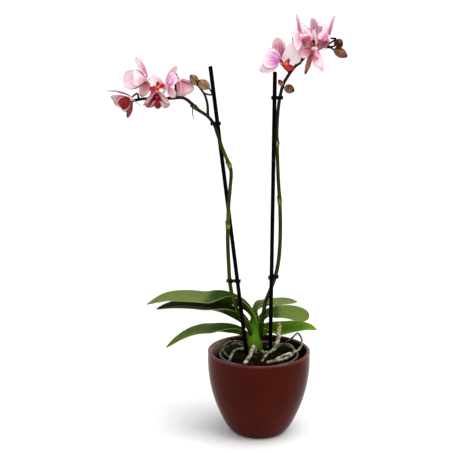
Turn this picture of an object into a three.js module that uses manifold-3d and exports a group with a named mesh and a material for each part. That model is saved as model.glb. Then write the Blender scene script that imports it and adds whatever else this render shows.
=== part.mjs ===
// A potted moth orchid: two flower spikes clipped to stakes, six strap leaves and aerial roots, in bark
// in a clear grow pot that stands inside a glazed cover pot.
// Millimetres, +Z up. The origin is the centre of the cover pot's flat base. The leaves spread to -X and
// +X, and +Y is the back of the plant.
import * as THREE from "three";
import { mergeVertices } from "three/addons/utils/BufferGeometryUtils.js";
import Module from "manifold-3d";

const wasm = await Module();
wasm.setup();

// ---------------------------------------------------------------- driving dimensions
const GAP = 0.3; // air between neighbouring pieces
const MESH_TOLERANCE = 0.06; // slivers thinner than this are merged away

const POT = { height: 112, rimRadius: 67.5, wall: 4.5, floor: 7, sides: 36 };
// The cover pot's outside: [height, radius] pairs from its foot up.
const POT_OUTLINE = [
  [0, 33.5], [2, 36.8], [12, 44.3], [25, 50.8], [40, 57], [56, 62], [72, 65.3], [90, 67.2],
  [POT.height - 1.6, POT.rimRadius],
];

const GROW_POT = {
  bottom: POT.floor + GAP, top: 107, bottomRadius: 30.5, topRadius: 51,
  wall: 1.2, lip: 1.4, lipDepth: 3.4, sides: 30,
};
const DRAIN = { holes: 6, radius: 2.6, ring: 19 };

// chip: least and greatest length, width and thickness of a bark chip; spread: how far out chips lie.
const BARK = {
  top: 103, mound: 5, chips: 19, spread: 40, seed: 11,
  chip: { length: [12, 18], width: [9, 12], thickness: [6, 9] },
};

const STAKE_RADIUS = 2.6;
const STAKES = {
  left: { foot: [-4.2, -5, 11], tip: [-63, -5, 485.5] },
  right: { foot: [14.2, -2, 11], tip: [18, -2, 478.5] },
};

const CLIP = { height: 4.2, rim: 1.5, slot: 1.2, bridge: 2.4 };

const SPIKE_RADIUS = { foot: 2.8, tip: 1.9 };
const TWIG_RADIUS = { foot: 1.9, tip: 1.3 };
const SHEATH = { length: 9, low: 2.6, high: 3.3 };
const PEDICEL_RADIUS = 1.2;
const BUD_STALK_RADIUS = 1.1;

const TEPAL_THICKNESS = 0.8; // sepals and petals
const LIP_THICKNESS = 0.9;
const LEAF_THICKNESS = { midrib: 2.4, edge: 1 };

// ---------------------------------------------------------------- colours
const skin = (color, roughness, metalness = 0) =>
  new THREE.MeshStandardMaterial({ color, roughness, metalness, side: THREE.DoubleSide });
const MATERIALS = {
  glaze: skin(0x431710, 0.28),
  clearPlastic: skin(0xa8aaa4, 0.3),
  bark: skin(0x3a2318, 0.9),
  leaf: skin(0x4c6b1c, 0.4),
  root: skin(0x9a9a7e, 0.75),
  crown: skin(0x5f7f16, 0.45),
  spike: skin(0x4a4f1c, 0.5),
  stake: skin(0x0a0c0a, 0.45),
  clip: skin(0x111311, 0.5),
  tepal: skin(0xecc4d0, 0.55),
  lip: skin(0xa81038, 0.45),
  bud: skin(0x6f4a2c, 0.55),
};

// ---------------------------------------------------------------- solids
const vector = (p) => new THREE.Vector3(...p);

// A closed geometry as a solid, turned the right way out.
function solidOf(geometry) {
  const bare = geometry.clone();
  for (const name of Object.keys(bare.attributes)) if (name !== "position") bare.deleteAttribute(name);
  const merged = mergeVertices(bare, 1e-4);
  const vertProperties = merged.attributes.position.array;
  const triVerts = new Uint32Array(merged.index.array);
  const make = () => new wasm.Manifold(new wasm.Mesh({ numProp: 3, vertProperties, triVerts }));
  const solid = make();
  if (solid.volume() > 0) return solid;
  for (let i = 0; i < triVerts.length; i += 3) {
    [triVerts[i + 1], triVerts[i + 2]] = [triVerts[i + 2], triVerts[i + 1]];
  }
  return make();
}

function geometryOf(solid) {
  const { numProp, vertProperties, triVerts } = solid.getMesh();
  const count = vertProperties.length / numProp;
  const position = new Float32Array(count * 3);
  for (let i = 0; i < count; i++) {
    position.set(vertProperties.subarray(i * numProp, i * numProp + 3), i * 3);
  }
  const geometry = new THREE.BufferGeometry();
  geometry.setAttribute("position", new THREE.BufferAttribute(position, 3));
  geometry.setIndex(new THREE.BufferAttribute(triVerts, 1));
  geometry.computeVertexNormals();
  return geometry;
}

const union = (solids) => solids.reduce((all, solid) => all.add(solid));
const largest = (solid) =>
  solid.decompose().reduce((big, part) => (part.volume() > big.volume() ? part : big));

function boxesMeet(a, b) {
  const p = a.boundingBox();
  const q = b.boundingBox();
  return [0, 1, 2].every((k) => p.min[k] < q.max[k] && q.min[k] < p.max[k]);
}

// A solid of revolution about Z from [radius, height] pairs that start and end on the axis.
function turned(outline, sides) {
  const profile = outline.map(([r, z]) => new THREE.Vector2(r, z));
  return solidOf(new THREE.LatheGeometry(profile, sides).rotateX(Math.PI / 2));
}

// A round bar along a smooth path. radius(u) is its radius at the share u of its length, and each end
// closes in a low point.
function bar(points, radius, { sides = 6, steps = points.length * 2, round = 0.5 } = {}) {
  const path = new THREE.CatmullRomCurve3(points.map(vector), false, "centripetal");
  const frames = path.computeFrenetFrames(steps, false);
  const position = [];
  const index = [];
  for (let i = 0; i <= steps; i++) {
    const centre = path.getPointAt(i / steps);
    for (let k = 0; k < sides; k++) {
      const turn = (2 * Math.PI * k) / sides;
      const out = frames.normals[i].clone().multiplyScalar(Math.cos(turn));
      out.addScaledVector(frames.binormals[i], Math.sin(turn));
      position.push(...centre.clone().addScaledVector(out, radius(i / steps)));
    }
  }
  const ring = (i, k) => i * sides + (k % sides);
  for (let i = 0; i < steps; i++) {
    for (let k = 0; k < sides; k++) {
      index.push(ring(i, k), ring(i, k + 1), ring(i + 1, k + 1));
      index.push(ring(i, k), ring(i + 1, k + 1), ring(i + 1, k));
    }
  }
  for (const [i, sign] of [[0, -1], [steps, 1]]) {
    const apex = position.length / 3;
    const centre = path.getPointAt(i / steps);
    position.push(...centre.addScaledVector(frames.tangents[i], sign * round * radius(i / steps)));
    for (let k = 0; k < sides; k++) {
      const pair = sign < 0 ? [ring(i, k + 1), ring(i, k)] : [ring(i, k), ring(i, k + 1)];
      index.push(...pair, apex);
    }
  }
  const geometry = new THREE.BufferGeometry();
  geometry.setAttribute("position", new THREE.Float32BufferAttribute(position, 3));
  geometry.setIndex(index);
  return solidOf(geometry);
}

const tapered = (from, to, grow = 0) => (u) => from + (to - from) * u + grow;

// A ball or egg: half sizes along its own axes, with Z turned to point along axis.
function egg(centre, axis, halfAcross, halfAlong, { around = 8, along = 6, point = 0 } = {}) {
  const geometry = new THREE.SphereGeometry(1, around, along).rotateX(Math.PI / 2);
  const p = geometry.attributes.position;
  for (let i = 0; i < p.count; i++) {
    const z = p.getZ(i);
    const narrow = 1 - point * Math.max(0, z) ** 1.5;
    p.setXYZ(i, p.getX(i) * halfAcross * narrow, p.getY(i) * halfAcross * narrow, z * halfAlong);
  }
  const up = new THREE.Vector3(0, 0, 1);
  const turn = new THREE.Quaternion().setFromUnitVectors(up, vector(axis).normalize());
  geometry.applyQuaternion(turn).translate(...centre);
  return solidOf(geometry);
}

// A thin blade with surface(u, v) as its middle: u runs 0 to 1 from base to tip, v from -1 to 1 across.
// Both faces are split into triangles alike, and grow moves every face and edge outwards.
function blade(surface, thickness, rows, cols, grow = 0) {
  const position = [];
  const index = [];
  const step = 1e-3;
  for (const side of [1, -1]) {
    for (let i = 0; i <= rows; i++) {
      for (let j = 0; j <= cols; j++) {
        const u = i / rows;
        const v = (2 * j) / cols - 1;
        const along = surface(u + step, v).sub(surface(u - step, v)).normalize();
        const across = surface(u, v + step).sub(surface(u, v - step)).normalize();
        const normal = across.clone().cross(along).normalize();
        const point = surface(u, v).addScaledVector(normal, side * (thickness(u, v) / 2 + grow));
        if (i === 0 || i === rows) point.addScaledVector(along, i ? grow : -grow);
        if (j === 0 || j === cols) point.addScaledVector(across, j ? grow : -grow);
        position.push(...point);
      }
    }
  }
  const layer = (rows + 1) * (cols + 1);
  const at = (face, i, j) => face * layer + i * (cols + 1) + j;
  const quad = (a, b, c, d) => index.push(a, b, c, a, c, d);
  for (let i = 0; i < rows; i++) {
    for (let j = 0; j < cols; j++) {
      const [a, b, c, d] = [[i, j], [i, j + 1], [i + 1, j + 1], [i + 1, j]];
      const corners = j < cols / 2 ? [a, b, c, d] : [b, c, d, a];
      quad(...corners.map(([p, q]) => at(0, p, q)));
      const [e, f, g, h] = corners.map(([p, q]) => at(1, p, q));
      index.push(e, g, f, e, h, g);
    }
  }
  for (let i = 0; i < rows; i++) {
    quad(at(0, i, 0), at(0, i + 1, 0), at(1, i + 1, 0), at(1, i, 0));
    quad(at(0, i + 1, cols), at(0, i, cols), at(1, i, cols), at(1, i + 1, cols));
  }
  for (let j = 0; j < cols; j++) {
    quad(at(0, 0, j + 1), at(0, 0, j), at(1, 0, j), at(1, 0, j + 1));
    quad(at(0, rows, j), at(0, rows, j + 1), at(1, rows, j + 1), at(1, rows, j));
  }
  const geometry = new THREE.BufferGeometry();
  geometry.setAttribute("position", new THREE.Float32BufferAttribute(position, 3));
  geometry.setIndex(index);
  return solidOf(geometry);
}

const mix = (a, b, t) => a + (b - a) * t;
const smooth = (from, to, x) => {
  const t = Math.min(1, Math.max(0, (x - from) / (to - from)));
  return t * t * (3 - 2 * t);
};
// A blade's outline as a share of its greatest half width: high rise keeps the base narrow, and low fall
// keeps the tip broad.
const outlineShare = (u, rise, fall) => {
  const x = Math.min(0.985, Math.max(0.015, u));
  const peak = rise / (rise + fall);
  return (x / peak) ** rise * ((1 - x) / (1 - peak)) ** fall;
};

// ---------------------------------------------------------------- pots and bark
const potRadius = (z) => {
  const k = Math.max(1, POT_OUTLINE.findIndex(([height]) => height >= z));
  const [[z0, r0], [z1, r1]] = [POT_OUTLINE[k - 1], POT_OUTLINE[k]];
  return mix(r0, r1, (z - z0) / (z1 - z0));
};

// The rim is rounded, and the inside follows the outside down to a floor with a slanted corner.
function coverPot() {
  const { height, rimRadius, wall, floor, sides } = POT;
  const outside = POT_OUTLINE.map(([z, r]) => [r, z]);
  const rim = [[rimRadius - 1.1, height], [rimRadius - 3.3, height]];
  const inside = [96, 70, 44, 22].map((z) => [potRadius(z) - wall, z]);
  const corner = [potRadius(floor) - wall - 4, floor];
  return turned([[0, 0], ...outside, ...rim, ...inside, corner, [0, floor]], sides);
}

const growPotRadius = (z) =>
  mix(GROW_POT.bottomRadius, GROW_POT.topRadius, (z - GROW_POT.bottom) / (GROW_POT.top - GROW_POT.bottom));

function growPot() {
  const { bottom, top, wall, lip, lipDepth, sides } = GROW_POT;
  const cup = turned(
    [
      [0, bottom],
      [growPotRadius(bottom), bottom],
      [growPotRadius(top - lipDepth), top - lipDepth - 0.6],
      [growPotRadius(top) + lip, top - lipDepth],
      [growPotRadius(top) + lip, top],
      [growPotRadius(top) - wall, top],
      [growPotRadius(bottom + wall) - wall, bottom + wall],
      [0, bottom + wall],
    ],
    sides,
  );
  const drain = (x, y) => {
    const hole = new THREE.CylinderGeometry(DRAIN.radius, DRAIN.radius, 4 * wall, 6);
    return solidOf(hole.rotateX(Math.PI / 2).translate(x, y, bottom));
  };
  const ring = Array.from({ length: DRAIN.holes }, (_, k) => {
    const turn = (2 * Math.PI * k) / DRAIN.holes;
    return drain(DRAIN.ring * Math.cos(turn), DRAIN.ring * Math.sin(turn));
  });
  return [drain(0, 0), ...ring].reduce((drained, hole) => drained.subtract(hole), cup);
}

// A small repeatable random source.
function randomFrom(seed) {
  let state = seed;
  return () => {
    state = (state * 1664525 + 1013904223) % 4294967296;
    return state / 4294967296;
  };
}

const GOLDEN_ANGLE = Math.PI * (3 - Math.sqrt(5));

// Chunky bark chips lie at all angles on the plug of bark that fills the grow pot.
function barkBed() {
  const { wall, bottom } = GROW_POT;
  const inset = wall + GAP;
  const foot = bottom + wall + GAP;
  const random = randomFrom(BARK.seed);
  const plug = turned(
    [
      [0, foot],
      [growPotRadius(foot) - inset, foot],
      [growPotRadius(BARK.top - 3) - inset, BARK.top - 3],
      [22, BARK.top],
      [0, BARK.top + BARK.mound - 1],
    ],
    GROW_POT.sides,
  );
  const room = turned(
    [
      [0, foot],
      [growPotRadius(foot) - inset, foot],
      [growPotRadius(GROW_POT.top) - inset, GROW_POT.top],
      [growPotRadius(GROW_POT.top) - inset, GROW_POT.top + 2 * BARK.mound],
      [0, GROW_POT.top + 2 * BARK.mound],
    ],
    GROW_POT.sides,
  );
  const chips = [];
  for (let k = 0; k < BARK.chips; k++) {
    const reach = BARK.spread * Math.sqrt((k + 0.6) / BARK.chips);
    const turn = k * GOLDEN_ANGLE;
    const size = Object.values(BARK.chip).map(([least, most]) => mix(least, most, random()));
    const chip = new THREE.BoxGeometry(...size);
    const p = chip.attributes.position;
    for (let i = 0; i < p.count; i++) {
      const chamfer = 1 - 0.25 * Math.abs(Math.sin(p.getX(i) * 1.7 + p.getY(i) * 2.9 + k));
      p.setXY(i, p.getX(i) * chamfer, p.getY(i));
    }
    chip.rotateX(mix(-0.45, 0.45, random()));
    chip.rotateY(mix(-0.4, 0.4, random()));
    chip.rotateZ(mix(0, Math.PI, random()));
    const rise = BARK.mound * (1 - reach / (1.2 * BARK.spread)) + mix(-2.2, 0.4, random());
    chip.translate(reach * Math.cos(turn), reach * Math.sin(turn), BARK.top + rise);
    chips.push(solidOf(chip));
  }
  return union([plug, ...chips]).intersect(room);
}

// ---------------------------------------------------------------- stakes and clips
const stakePoint = (stake, z) => {
  const [foot, tip] = [vector(stake.foot), vector(stake.tip)];
  return foot.lerp(tip, (z - stake.foot[2]) / (stake.tip[2] - stake.foot[2]));
};

function stakeBar(stake, grow) {
  const middle = stakePoint(stake, stake.tip[2] / 2).toArray();
  return bar([stake.foot, middle, stake.tip], () => STAKE_RADIUS + grow, { sides: 8, steps: 2, round: 0.6 });
}

// Where each clip holds the stem, and the stem's radius there.
const CLIPS = {
  clip_left_low: { stake: STAKES.left, stem: [-38.5, -6, 207.6], radius: 2.7 },
  clip_left_high: { stake: STAKES.left, stem: [-58.9, -7.6, 413.5], radius: 2.4 },
  clip_right_low: { stake: STAKES.right, stem: [21, 3.6, 211], radius: 2.7 },
  clip_right_high: { stake: STAKES.right, stem: [24.7, 0, 445.5], radius: 2.3 },
};

// A clip has one ring round the stake and one round the stem, joined by a short bridge. Each ring is slit
// on its far side.
function clip({ stake, stem, radius: stemRadius }) {
  const onStake = stakePoint(stake, stem[2]);
  const onStem = vector(stem);
  const { height, rim, slot, bridge } = CLIP;
  const ring = (centre, radius) =>
    solidOf(new THREE.CylinderGeometry(radius, radius, height, 10).rotateX(Math.PI / 2).translate(...centre));
  const between = onStem.clone().sub(onStake);
  const span = between.length();
  const turn = Math.atan2(between.y, between.x);
  const box = (length, width, tall, along) =>
    solidOf(
      new THREE.BoxGeometry(length, width, tall)
        .translate(along, 0, 0)
        .rotateZ(turn)
        .translate(onStake.x, onStake.y, onStake.z),
    );
  const body = union([
    ring(onStake, STAKE_RADIUS + GAP + rim),
    ring(onStem, stemRadius + GAP + rim),
    box(span, bridge, height * 0.7, span / 2),
  ]);
  const slit = (along) => box(8, slot, height + 1, along);
  return body.subtract(slit(span + stemRadius + 4)).subtract(slit(-STAKE_RADIUS - 4));
}

// ---------------------------------------------------------------- flower spikes
// Each spike is one stem with its side twigs, the stalks of its blooms and buds, and a sheath at each joint.
const SPIKES = {
  left: {
    stem: [
      [-8, 10, 124], [-10.3, 7.5, 132], [-14.3, 4, 140.7], [-18.4, 1.8, 148.4], [-23.7, 0.8, 157],
      [-28.3, -0.5, 166.5], [-32.3, -2, 176.5], [-35.5, -3.5, 188], [-38.5, -6, 207.6], [-40, -7.4, 232],
      [-41, -8.8, 255], [-41.3, -10, 270], [-41, -10.9, 284], [-40.5, -11.3, 300], [-39.8, -11.3, 313],
      [-38, -10.9, 333], [-37, -9.8, 353], [-40, -9.9, 363], [-44, -10.8, 373], [-48, -11.4, 383],
      [-53.5, -11.2, 399], [-58.9, -7.6, 413.5], [-67, -5, 423], [-80, -3, 431.5], [-91, -2, 442],
      [-98, -2, 445.5],
      [-113, -3, 445], [-131, -4, 444.5], [-147, -4, 444.5], [-161, -4, 442],
    ],
    twigs: [[[-66, -4.5, 421.5], [-67, 0, 438], [-71, 4, 450], [-77, 6, 458], [-80, 7, 462]]],
    joints: [[-41, -10.9, 284], [-39.3, -9.9, 361], [-83, -2, 435]],
  },
  right: {
    stem: [
      [1.5, 10.5, 121], [3, 8.5, 131], [4, 6.2, 146.7], [6, 5, 160.7], [8.3, 4.5, 175], [13, 4.5, 188],
      [17, 4.5, 199], [21, 3.6, 211], [24.8, 2.5, 231], [26.7, 1, 260.7], [26.6, 0, 290], [25.5, 0, 314],
      [23.6, 1, 341], [21.9, 1.7, 379], [21.3, 1.9, 405], [22.6, 1.2, 430], [24.8, 0, 446.7], [28.7, 0, 462.6],
      [34.7, 3, 472.5], [41, 5, 481.4], [52, 7, 492.3], [65, 8, 502.2], [79, 7, 509], [89, 5, 508],
    ],
    twigs: [],
    joints: [[25.6, 0, 314], [21.7, 1.8, 387], [49, 6.5, 489.5]],
  },
};

// Buds: centre, the way the tip points, half width and half length, where the stalk leaves the stem, and
// where a curled stalk bends.
const BUDS = [
  {
    name: "bud_left_1", at: [-84, 14, 467.5], axis: [-0.7, 0, 0.7], size: [5.4, 6.8],
    from: [-79, 7, 461],
  },
  {
    name: "bud_left_2", at: [-71.5, 7, 461.5], axis: [-0.8, 0.1, 0.5], size: [6.3, 8.7],
    from: [-71, 4, 450], bend: [-61, 4, 449],
  },
  {
    name: "bud_right_1", at: [97, -4, 513.5], axis: [0.35, -0.9, 0.2], size: [6, 6.4],
    from: [86, 5.7, 508.5],
  },
  {
    name: "bud_right_2", at: [100, -1, 501.5], axis: [0.85, -0.1, -0.5], size: [6.2, 10],
    from: [88, 5.2, 508],
  },
  {
    name: "bud_right_3", at: [36, -6, 457], axis: [0.9, -0.3, -0.3], size: [5.8, 6.8],
    from: [28, -0.4, 460],
  },
  {
    name: "bud_right_4", at: [25, -7, 465], axis: [-0.5, -0.3, 0.7], size: [3.4, 5],
    from: [27.3, -1, 458],
  },
];

// Blooms: centre, the way each one faces, the way its top points, size against a full bloom, where its stalk
// leaves the stem, and its lip's size, turn about the bloom's axis and tilt up. Each sepal and petal has its
// angle clockwise from the top, its slope towards the front at its base and tip, its length and width against
// the usual ones, and the roll of its blade. All angles are in degrees.
const BLOOMS = [
  {
    name: "bloom_left_1", at: [-142, -9, 470], face: [-0.93, -0.28, 0.08], top: [0, 0, 1],
    size: 1.04, from: [-139, -4, 444.5], lip: [0.7, 30, 40],
    sepals: [[4, 20, 54, 1, 1.2, 30], [150, 16, 30, 0.8, 1.1, 60], [-135, 45, 70, 0.95, 1, 0]],
    petals: [[80, 40, 75, 0.92, 0.8, 0], [-125, 50, 82, 1.12, 0.85, 0]],
  },
  {
    name: "bloom_left_2", at: [-117, -27, 461], face: [-0.72, -0.6, 0.35], top: [0.35, 0, 0.94],
    size: 0.92, from: [-115, -3.2, 444.9], lip: [1.3, 5, 22],
    sepals: [[-12, 0, -20, 1.05, 1, 0], [100, 0, -10, 0.75, 1, 0], [-170, 0, 40, 0.45, 0.8, 0]],
    petals: [[22, 0, -10, 0.85, 1, 0], [-80, 25, 50, 1, 0.5, 0]],
  },
  {
    name: "bloom_left_3", at: [-129, -19, 455], face: [0, -0.25, -0.95], top: [0, 0.9, -0.35],
    size: 0.9, from: [-127, -3.8, 444.6], lip: [1.1, 0, 0],
    sepals: [[0, 32, 68, 1, 1, 0], [122, 32, 68, 1, 1, 0], [-122, 32, 68, 1, 1, 0]],
    petals: [[82, 35, 71, 1, 1, 0], [-82, 35, 71, 1, 1, 0]],
  },
  {
    name: "bloom_left_4", at: [-103, 20, 465], face: [0.45, 0.1, -0.9], top: [0.9, 0, 0.45],
    size: 0.9, from: [-106, -2.6, 445.1], lip: [1, 0, 0],
    sepals: [[0, 30, 66, 1, 1, 0], [122, 30, 66, 1, 1, 0], [-122, 30, 66, 1, 1, 0]],
    petals: [[82, 33, 69, 1, 1, 0], [-82, 33, 69, 1, 1, 0]],
  },
  {
    name: "bloom_left_5", at: [-163, -8, 446], face: [-0.82, -0.2, -0.55], top: [-0.5, 0, 0.85],
    size: 1.02, from: [-153, -4, 444.2], lip: [1, 0, 0],
    sepals: [[0, 24, 62, 1, 0.8, 0], [157, -10, -25, 0.5, 0.6, 0], [-150, 24, 62, 0.9, 1, 0]],
    petals: [[90, 30, 66, 0.9, 0.8, 0], [-60, 30, 62, 1, 0.8, 0]],
  },
  {
    name: "bloom_right_1", at: [25, -12, 492.5], face: [0.45, -0.87, -0.15], top: [-0.1, 0, 1],
    size: 0.98, from: [37, 4, 476], lip: [1.25, -4, 35],
    sepals: [[-12, 4, -6, 0.98, 1.25, 0], [95, 0, -20, 0.8, 1, 0], [-106, 4, -6, 1, 1, 0]],
    petals: [[64, 7, -3, 1.04, 1.02, 0], [-68, 7, -3, 1, 1, 0]],
  },
  {
    name: "bloom_right_2", at: [49, -10, 522], face: [0.88, -0.45, 0.1], top: [-0.2, 0, 0.98],
    size: 0.96, from: [50, 6.8, 490.6], lip: [1, 0, 0],
    sepals: [[0, 0, -6, 0.92, 0.75, 0], [122, 0, -6, 0.9, 1, 0], [-150, 0, 10, 0.8, 0.9, 0]],
    petals: [[78, 3, -3, 1, 1, 30], [-98, 3, -3, 1, 1, 0]],
  },
  {
    name: "bloom_right_3", at: [73, 30, 516], face: [0.2, 0.9, 0.2], top: [0, -0.2, 0.95],
    size: 0.92, from: [72, 7.6, 505.8], lip: [1, 0, 0],
    sepals: [[14, 2, -8, 1, 0.75, 0], [122, 2, -8, 1, 1, 0], [-122, 2, -8, 0.6, 1, 0]],
    petals: [[82, 5, -5, 1, 1, 0], [-36, 5, -5, 0.85, 0.65, 0]],
  },
  {
    name: "bloom_right_4", at: [66, -16, 508], face: [0.1, -0.05, -1], top: [0.2, 1, 0],
    size: 1.06, from: [62, 7.8, 500.1], lip: [0.8, 0, 0],
    sepals: [[0, -76, -80, 0.75, 0.6, 0], [118, 56, 78, 1.1, 1.15, -35], [-112, 68, 88, 1, 0.9, 0]],
    petals: [[95, 0, 20, 0.7, 0.9, 50], [-155, 48, 76, 0.95, 0.45, 0]],
  },
  {
    name: "bloom_right_5", at: [84, -4, 520], face: [-0.92, -0.3, 0.1], top: [0.2, 0, 0.98],
    size: 1, from: [80, 6.8, 509], lip: [1, 0, 0],
    sepals: [[0, 0, -16, 0.9, 0.7, 0], [150, 20, 40, 0.6, 0.6, 0], [-150, 20, 40, 0.7, 1, 0]],
    petals: [[55, 35, 55, 0.85, 0.9, 40], [-82, 20, 30, 0.8, 1, 0]],
  },
];

// From a bloom's centre back to the end of its stalk, and from there to the stalk's bend.
const BLOOM_BACK = 3;
const STALK_STRAIGHT = 7;

function bloomStalk({ at, face, from }) {
  const back = vector(at).addScaledVector(vector(face).normalize(), -BLOOM_BACK);
  const bend = back.clone().addScaledVector(vector(face).normalize(), -STALK_STRAIGHT);
  return [from, bend.toArray(), back.toArray()];
}

function budStalk({ at, axis, size, from, bend }) {
  const sunk = 0.6;
  const sag = new THREE.Vector3(0, 0, -1.2);
  const end = vector(at).addScaledVector(vector(axis).normalize(), sunk - size[1]);
  const middle = bend ?? vector(from).lerp(end, 0.5).add(sag).toArray();
  return [from, middle, end.toArray()];
}

// The sheath at the joint nearest to a point: a short flared sleeve along the stem.
function sheath(path, joint, grow) {
  const near = path.getSpacedPoints(200).map((p, i) => [p.distanceTo(vector(joint)), i / 200]);
  const [, u] = near.reduce((best, one) => (one[0] < best[0] ? one : best));
  const centre = path.getPointAt(u);
  const along = path.getTangentAt(u);
  const shift = (share) => centre.clone().addScaledVector(along, share * SHEATH.length);
  const ends = [-0.5, 0, 0.5].map((share) => shift(share).toArray());
  return bar(ends, tapered(SHEATH.low, SHEATH.high, grow), { sides: 5, steps: 1, round: 0.2 });
}

function spike(side, grow) {
  const { stem, twigs, joints } = SPIKES[side];
  const mine = (list) => list.filter(({ name }) => name.includes(side));
  const path = new THREE.CatmullRomCurve3(stem.map(vector), false, "centripetal");
  const stalk = (points, radius) => bar(points, () => radius + grow, { sides: 4, steps: 3 });
  const twigRadius = tapered(TWIG_RADIUS.foot, TWIG_RADIUS.tip, grow);
  return union([
    bar(stem, tapered(SPIKE_RADIUS.foot, SPIKE_RADIUS.tip, grow), { sides: 5, steps: 28 }),
    ...twigs.map((twig) => bar(twig, twigRadius, { sides: 5, steps: 5 })),
    ...joints.map((joint) => sheath(path, joint, grow)),
    ...mine(BLOOMS).map((bloom) => stalk(bloomStalk(bloom), PEDICEL_RADIUS)),
    ...mine(BUDS).map((bud) => stalk(budStalk(bud), BUD_STALK_RADIUS)),
  ]);
}

function bud({ at, axis, size }, grow) {
  return egg(at, axis, size[0] + grow, size[1] + grow, { around: 7, along: 5, point: 0.35 });
}

// ---------------------------------------------------------------- blooms
// Length, greatest half width, outline, the height of its root on the bloom's axis, and how far from that
// axis it starts.
const SEPAL = { length: 29, halfWidth: 7.8, rise: 0.6, fall: 0.55, root: -0.9, from: 2.5 };
const PETAL = { length: 25, halfWidth: 13.5, rise: 0.62, fall: 0.34, root: 0.9, from: 1.5 };

// The middle surface of a sepal or petal in its bloom's own frame, where the bloom faces +Z with its top at
// +Y. cup lifts its sides and wave ripples them.
function lobe(shape, [angle, low, high, long, wide, roll], cup, wave) {
  const { length, halfWidth, rise, fall, root, from } = shape;
  const radians = THREE.MathUtils.degToRad;
  const bend = Math.abs(high - low) < 0.01 ? 1e-4 : radians(high - low);
  const turn = radians(angle);
  const out = new THREE.Vector3(Math.sin(turn), Math.cos(turn), 0);
  const level = new THREE.Vector3(Math.cos(turn), -Math.sin(turn), 0);
  return (u, v) => {
    const slope = radians(low) + bend * u;
    const reach = from + (length * long * (Math.sin(slope) - Math.sin(radians(low)))) / bend;
    const lift = (length * long * (Math.cos(radians(low)) - Math.cos(slope))) / bend;
    const width = Math.max(0.7, halfWidth * long * wide * outlineShare(u, rise, fall));
    const raised = width * v * v * cup + wave * v * v * Math.sin(7 * u + 2 * v + angle);
    const flat = out.clone().multiplyScalar(-Math.sin(slope)).setZ(Math.cos(slope));
    const rolled = radians(roll) * smooth(0, 0.35, u);
    const side = level.clone().multiplyScalar(Math.cos(rolled)).addScaledVector(flat, Math.sin(rolled));
    const normal = flat.multiplyScalar(Math.cos(rolled)).addScaledVector(level, -Math.sin(rolled));
    return new THREE.Vector3(0, 0, root + lift)
      .addScaledVector(out, reach)
      .addScaledVector(side, width * v)
      .addScaledVector(normal, raised);
  };
}

function bloomMatrix({ at, face, top }) {
  const z = vector(face).normalize();
  const x = vector(top).cross(z).normalize();
  const y = z.clone().cross(x);
  return new THREE.Matrix4().makeBasis(x, y, z).setPosition(...at);
}

const placed = (solid, bloom) => {
  const matrix = bloomMatrix(bloom).scale(new THREE.Vector3(bloom.size, bloom.size, bloom.size));
  return solid.transform(matrix.toArray());
};

// Three sepals, two broad petals and the column, all joined at the bloom's centre. A steep sepal or petal is
// half shut, and more cupped.
function perianth(bloom, grow) {
  const thick = () => TEPAL_THICKNESS;
  const shut = ([, , high]) => Math.max(0, high / 70);
  const sepal = (set) => blade(lobe(SEPAL, set, 0.1 + 0.15 * shut(set), 0), thick, 4, 2, grow);
  const petal = (set) => {
    return blade(lobe(PETAL, set, 0.1 + 0.42 * shut(set), 0.7 - 0.4 * shut(set)), thick, 4, 3, grow);
  };
  const parts = [
    egg([0, 0, 0], [0, 0, 1], 4.2 + grow, 2.6 + grow, { around: 6, along: 4 }),
    bar([[0, 0.4, 0.5], [0, 1.2, 4], [0, 1.6, 7.6]], () => 1.9 + grow, { sides: 5, steps: 1, round: 0.8 }),
    ...bloom.sepals.map(sepal),
    ...bloom.petals.map(petal),
  ];
  return placed(union(parts), bloom);
}

// The lip is one curled blade: its two side lobes stand up beside the column, then it narrows and opens into
// a tongue that reaches forward and down.
const LIP = { length: 19, wing: 8.6, waist: 2.6, tongue: 6.4, root: [0, -3.3, 2.4] };

function lipPoint(u, v) {
  const share = (from, to) => Math.min(1, Math.max(0, (u - from) / (to - from)));
  const hump = (from, to, power) => Math.sin(Math.PI * share(from, to)) ** power;
  const wing = hump(0, 0.5, 0.7);
  const tongue = hump(0.42, 1.04, 0.6);
  const width = Math.max(LIP.waist * (1 - smooth(0.8, 1, u)) + 0.8, LIP.wing * wing, LIP.tongue * tongue);
  const curl = THREE.MathUtils.degToRad(mix(96, 28, smooth(0.32, 0.58, u)));
  const slope = THREE.MathUtils.degToRad(mix(66, -22, smooth(0, 1, u)));
  const down = -LIP.length * 0.6 * u * (0.5 + 0.5 * u);
  const out = LIP.length * (0.55 * u + 0.12 * Math.sin(Math.PI * u));
  const across = (width * Math.sin(curl * v)) / curl;
  const raised = (width * (1 - Math.cos(curl * v))) / curl;
  return new THREE.Vector3(across, down + raised * Math.sin(slope), out + raised * Math.cos(slope));
}

function lip(bloom, grow) {
  const [size, turn, tilt] = bloom.lip;
  const surface = (u, v) => lipPoint(u, v)
    .multiplyScalar(size)
    .applyAxisAngle(new THREE.Vector3(1, 0, 0), -THREE.MathUtils.degToRad(tilt))
    .applyAxisAngle(new THREE.Vector3(0, 0, 1), THREE.MathUtils.degToRad(turn))
    .add(vector(LIP.root));
  return placed(blade(surface, () => LIP_THICKNESS, 5, 4, grow), bloom);
}

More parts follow.
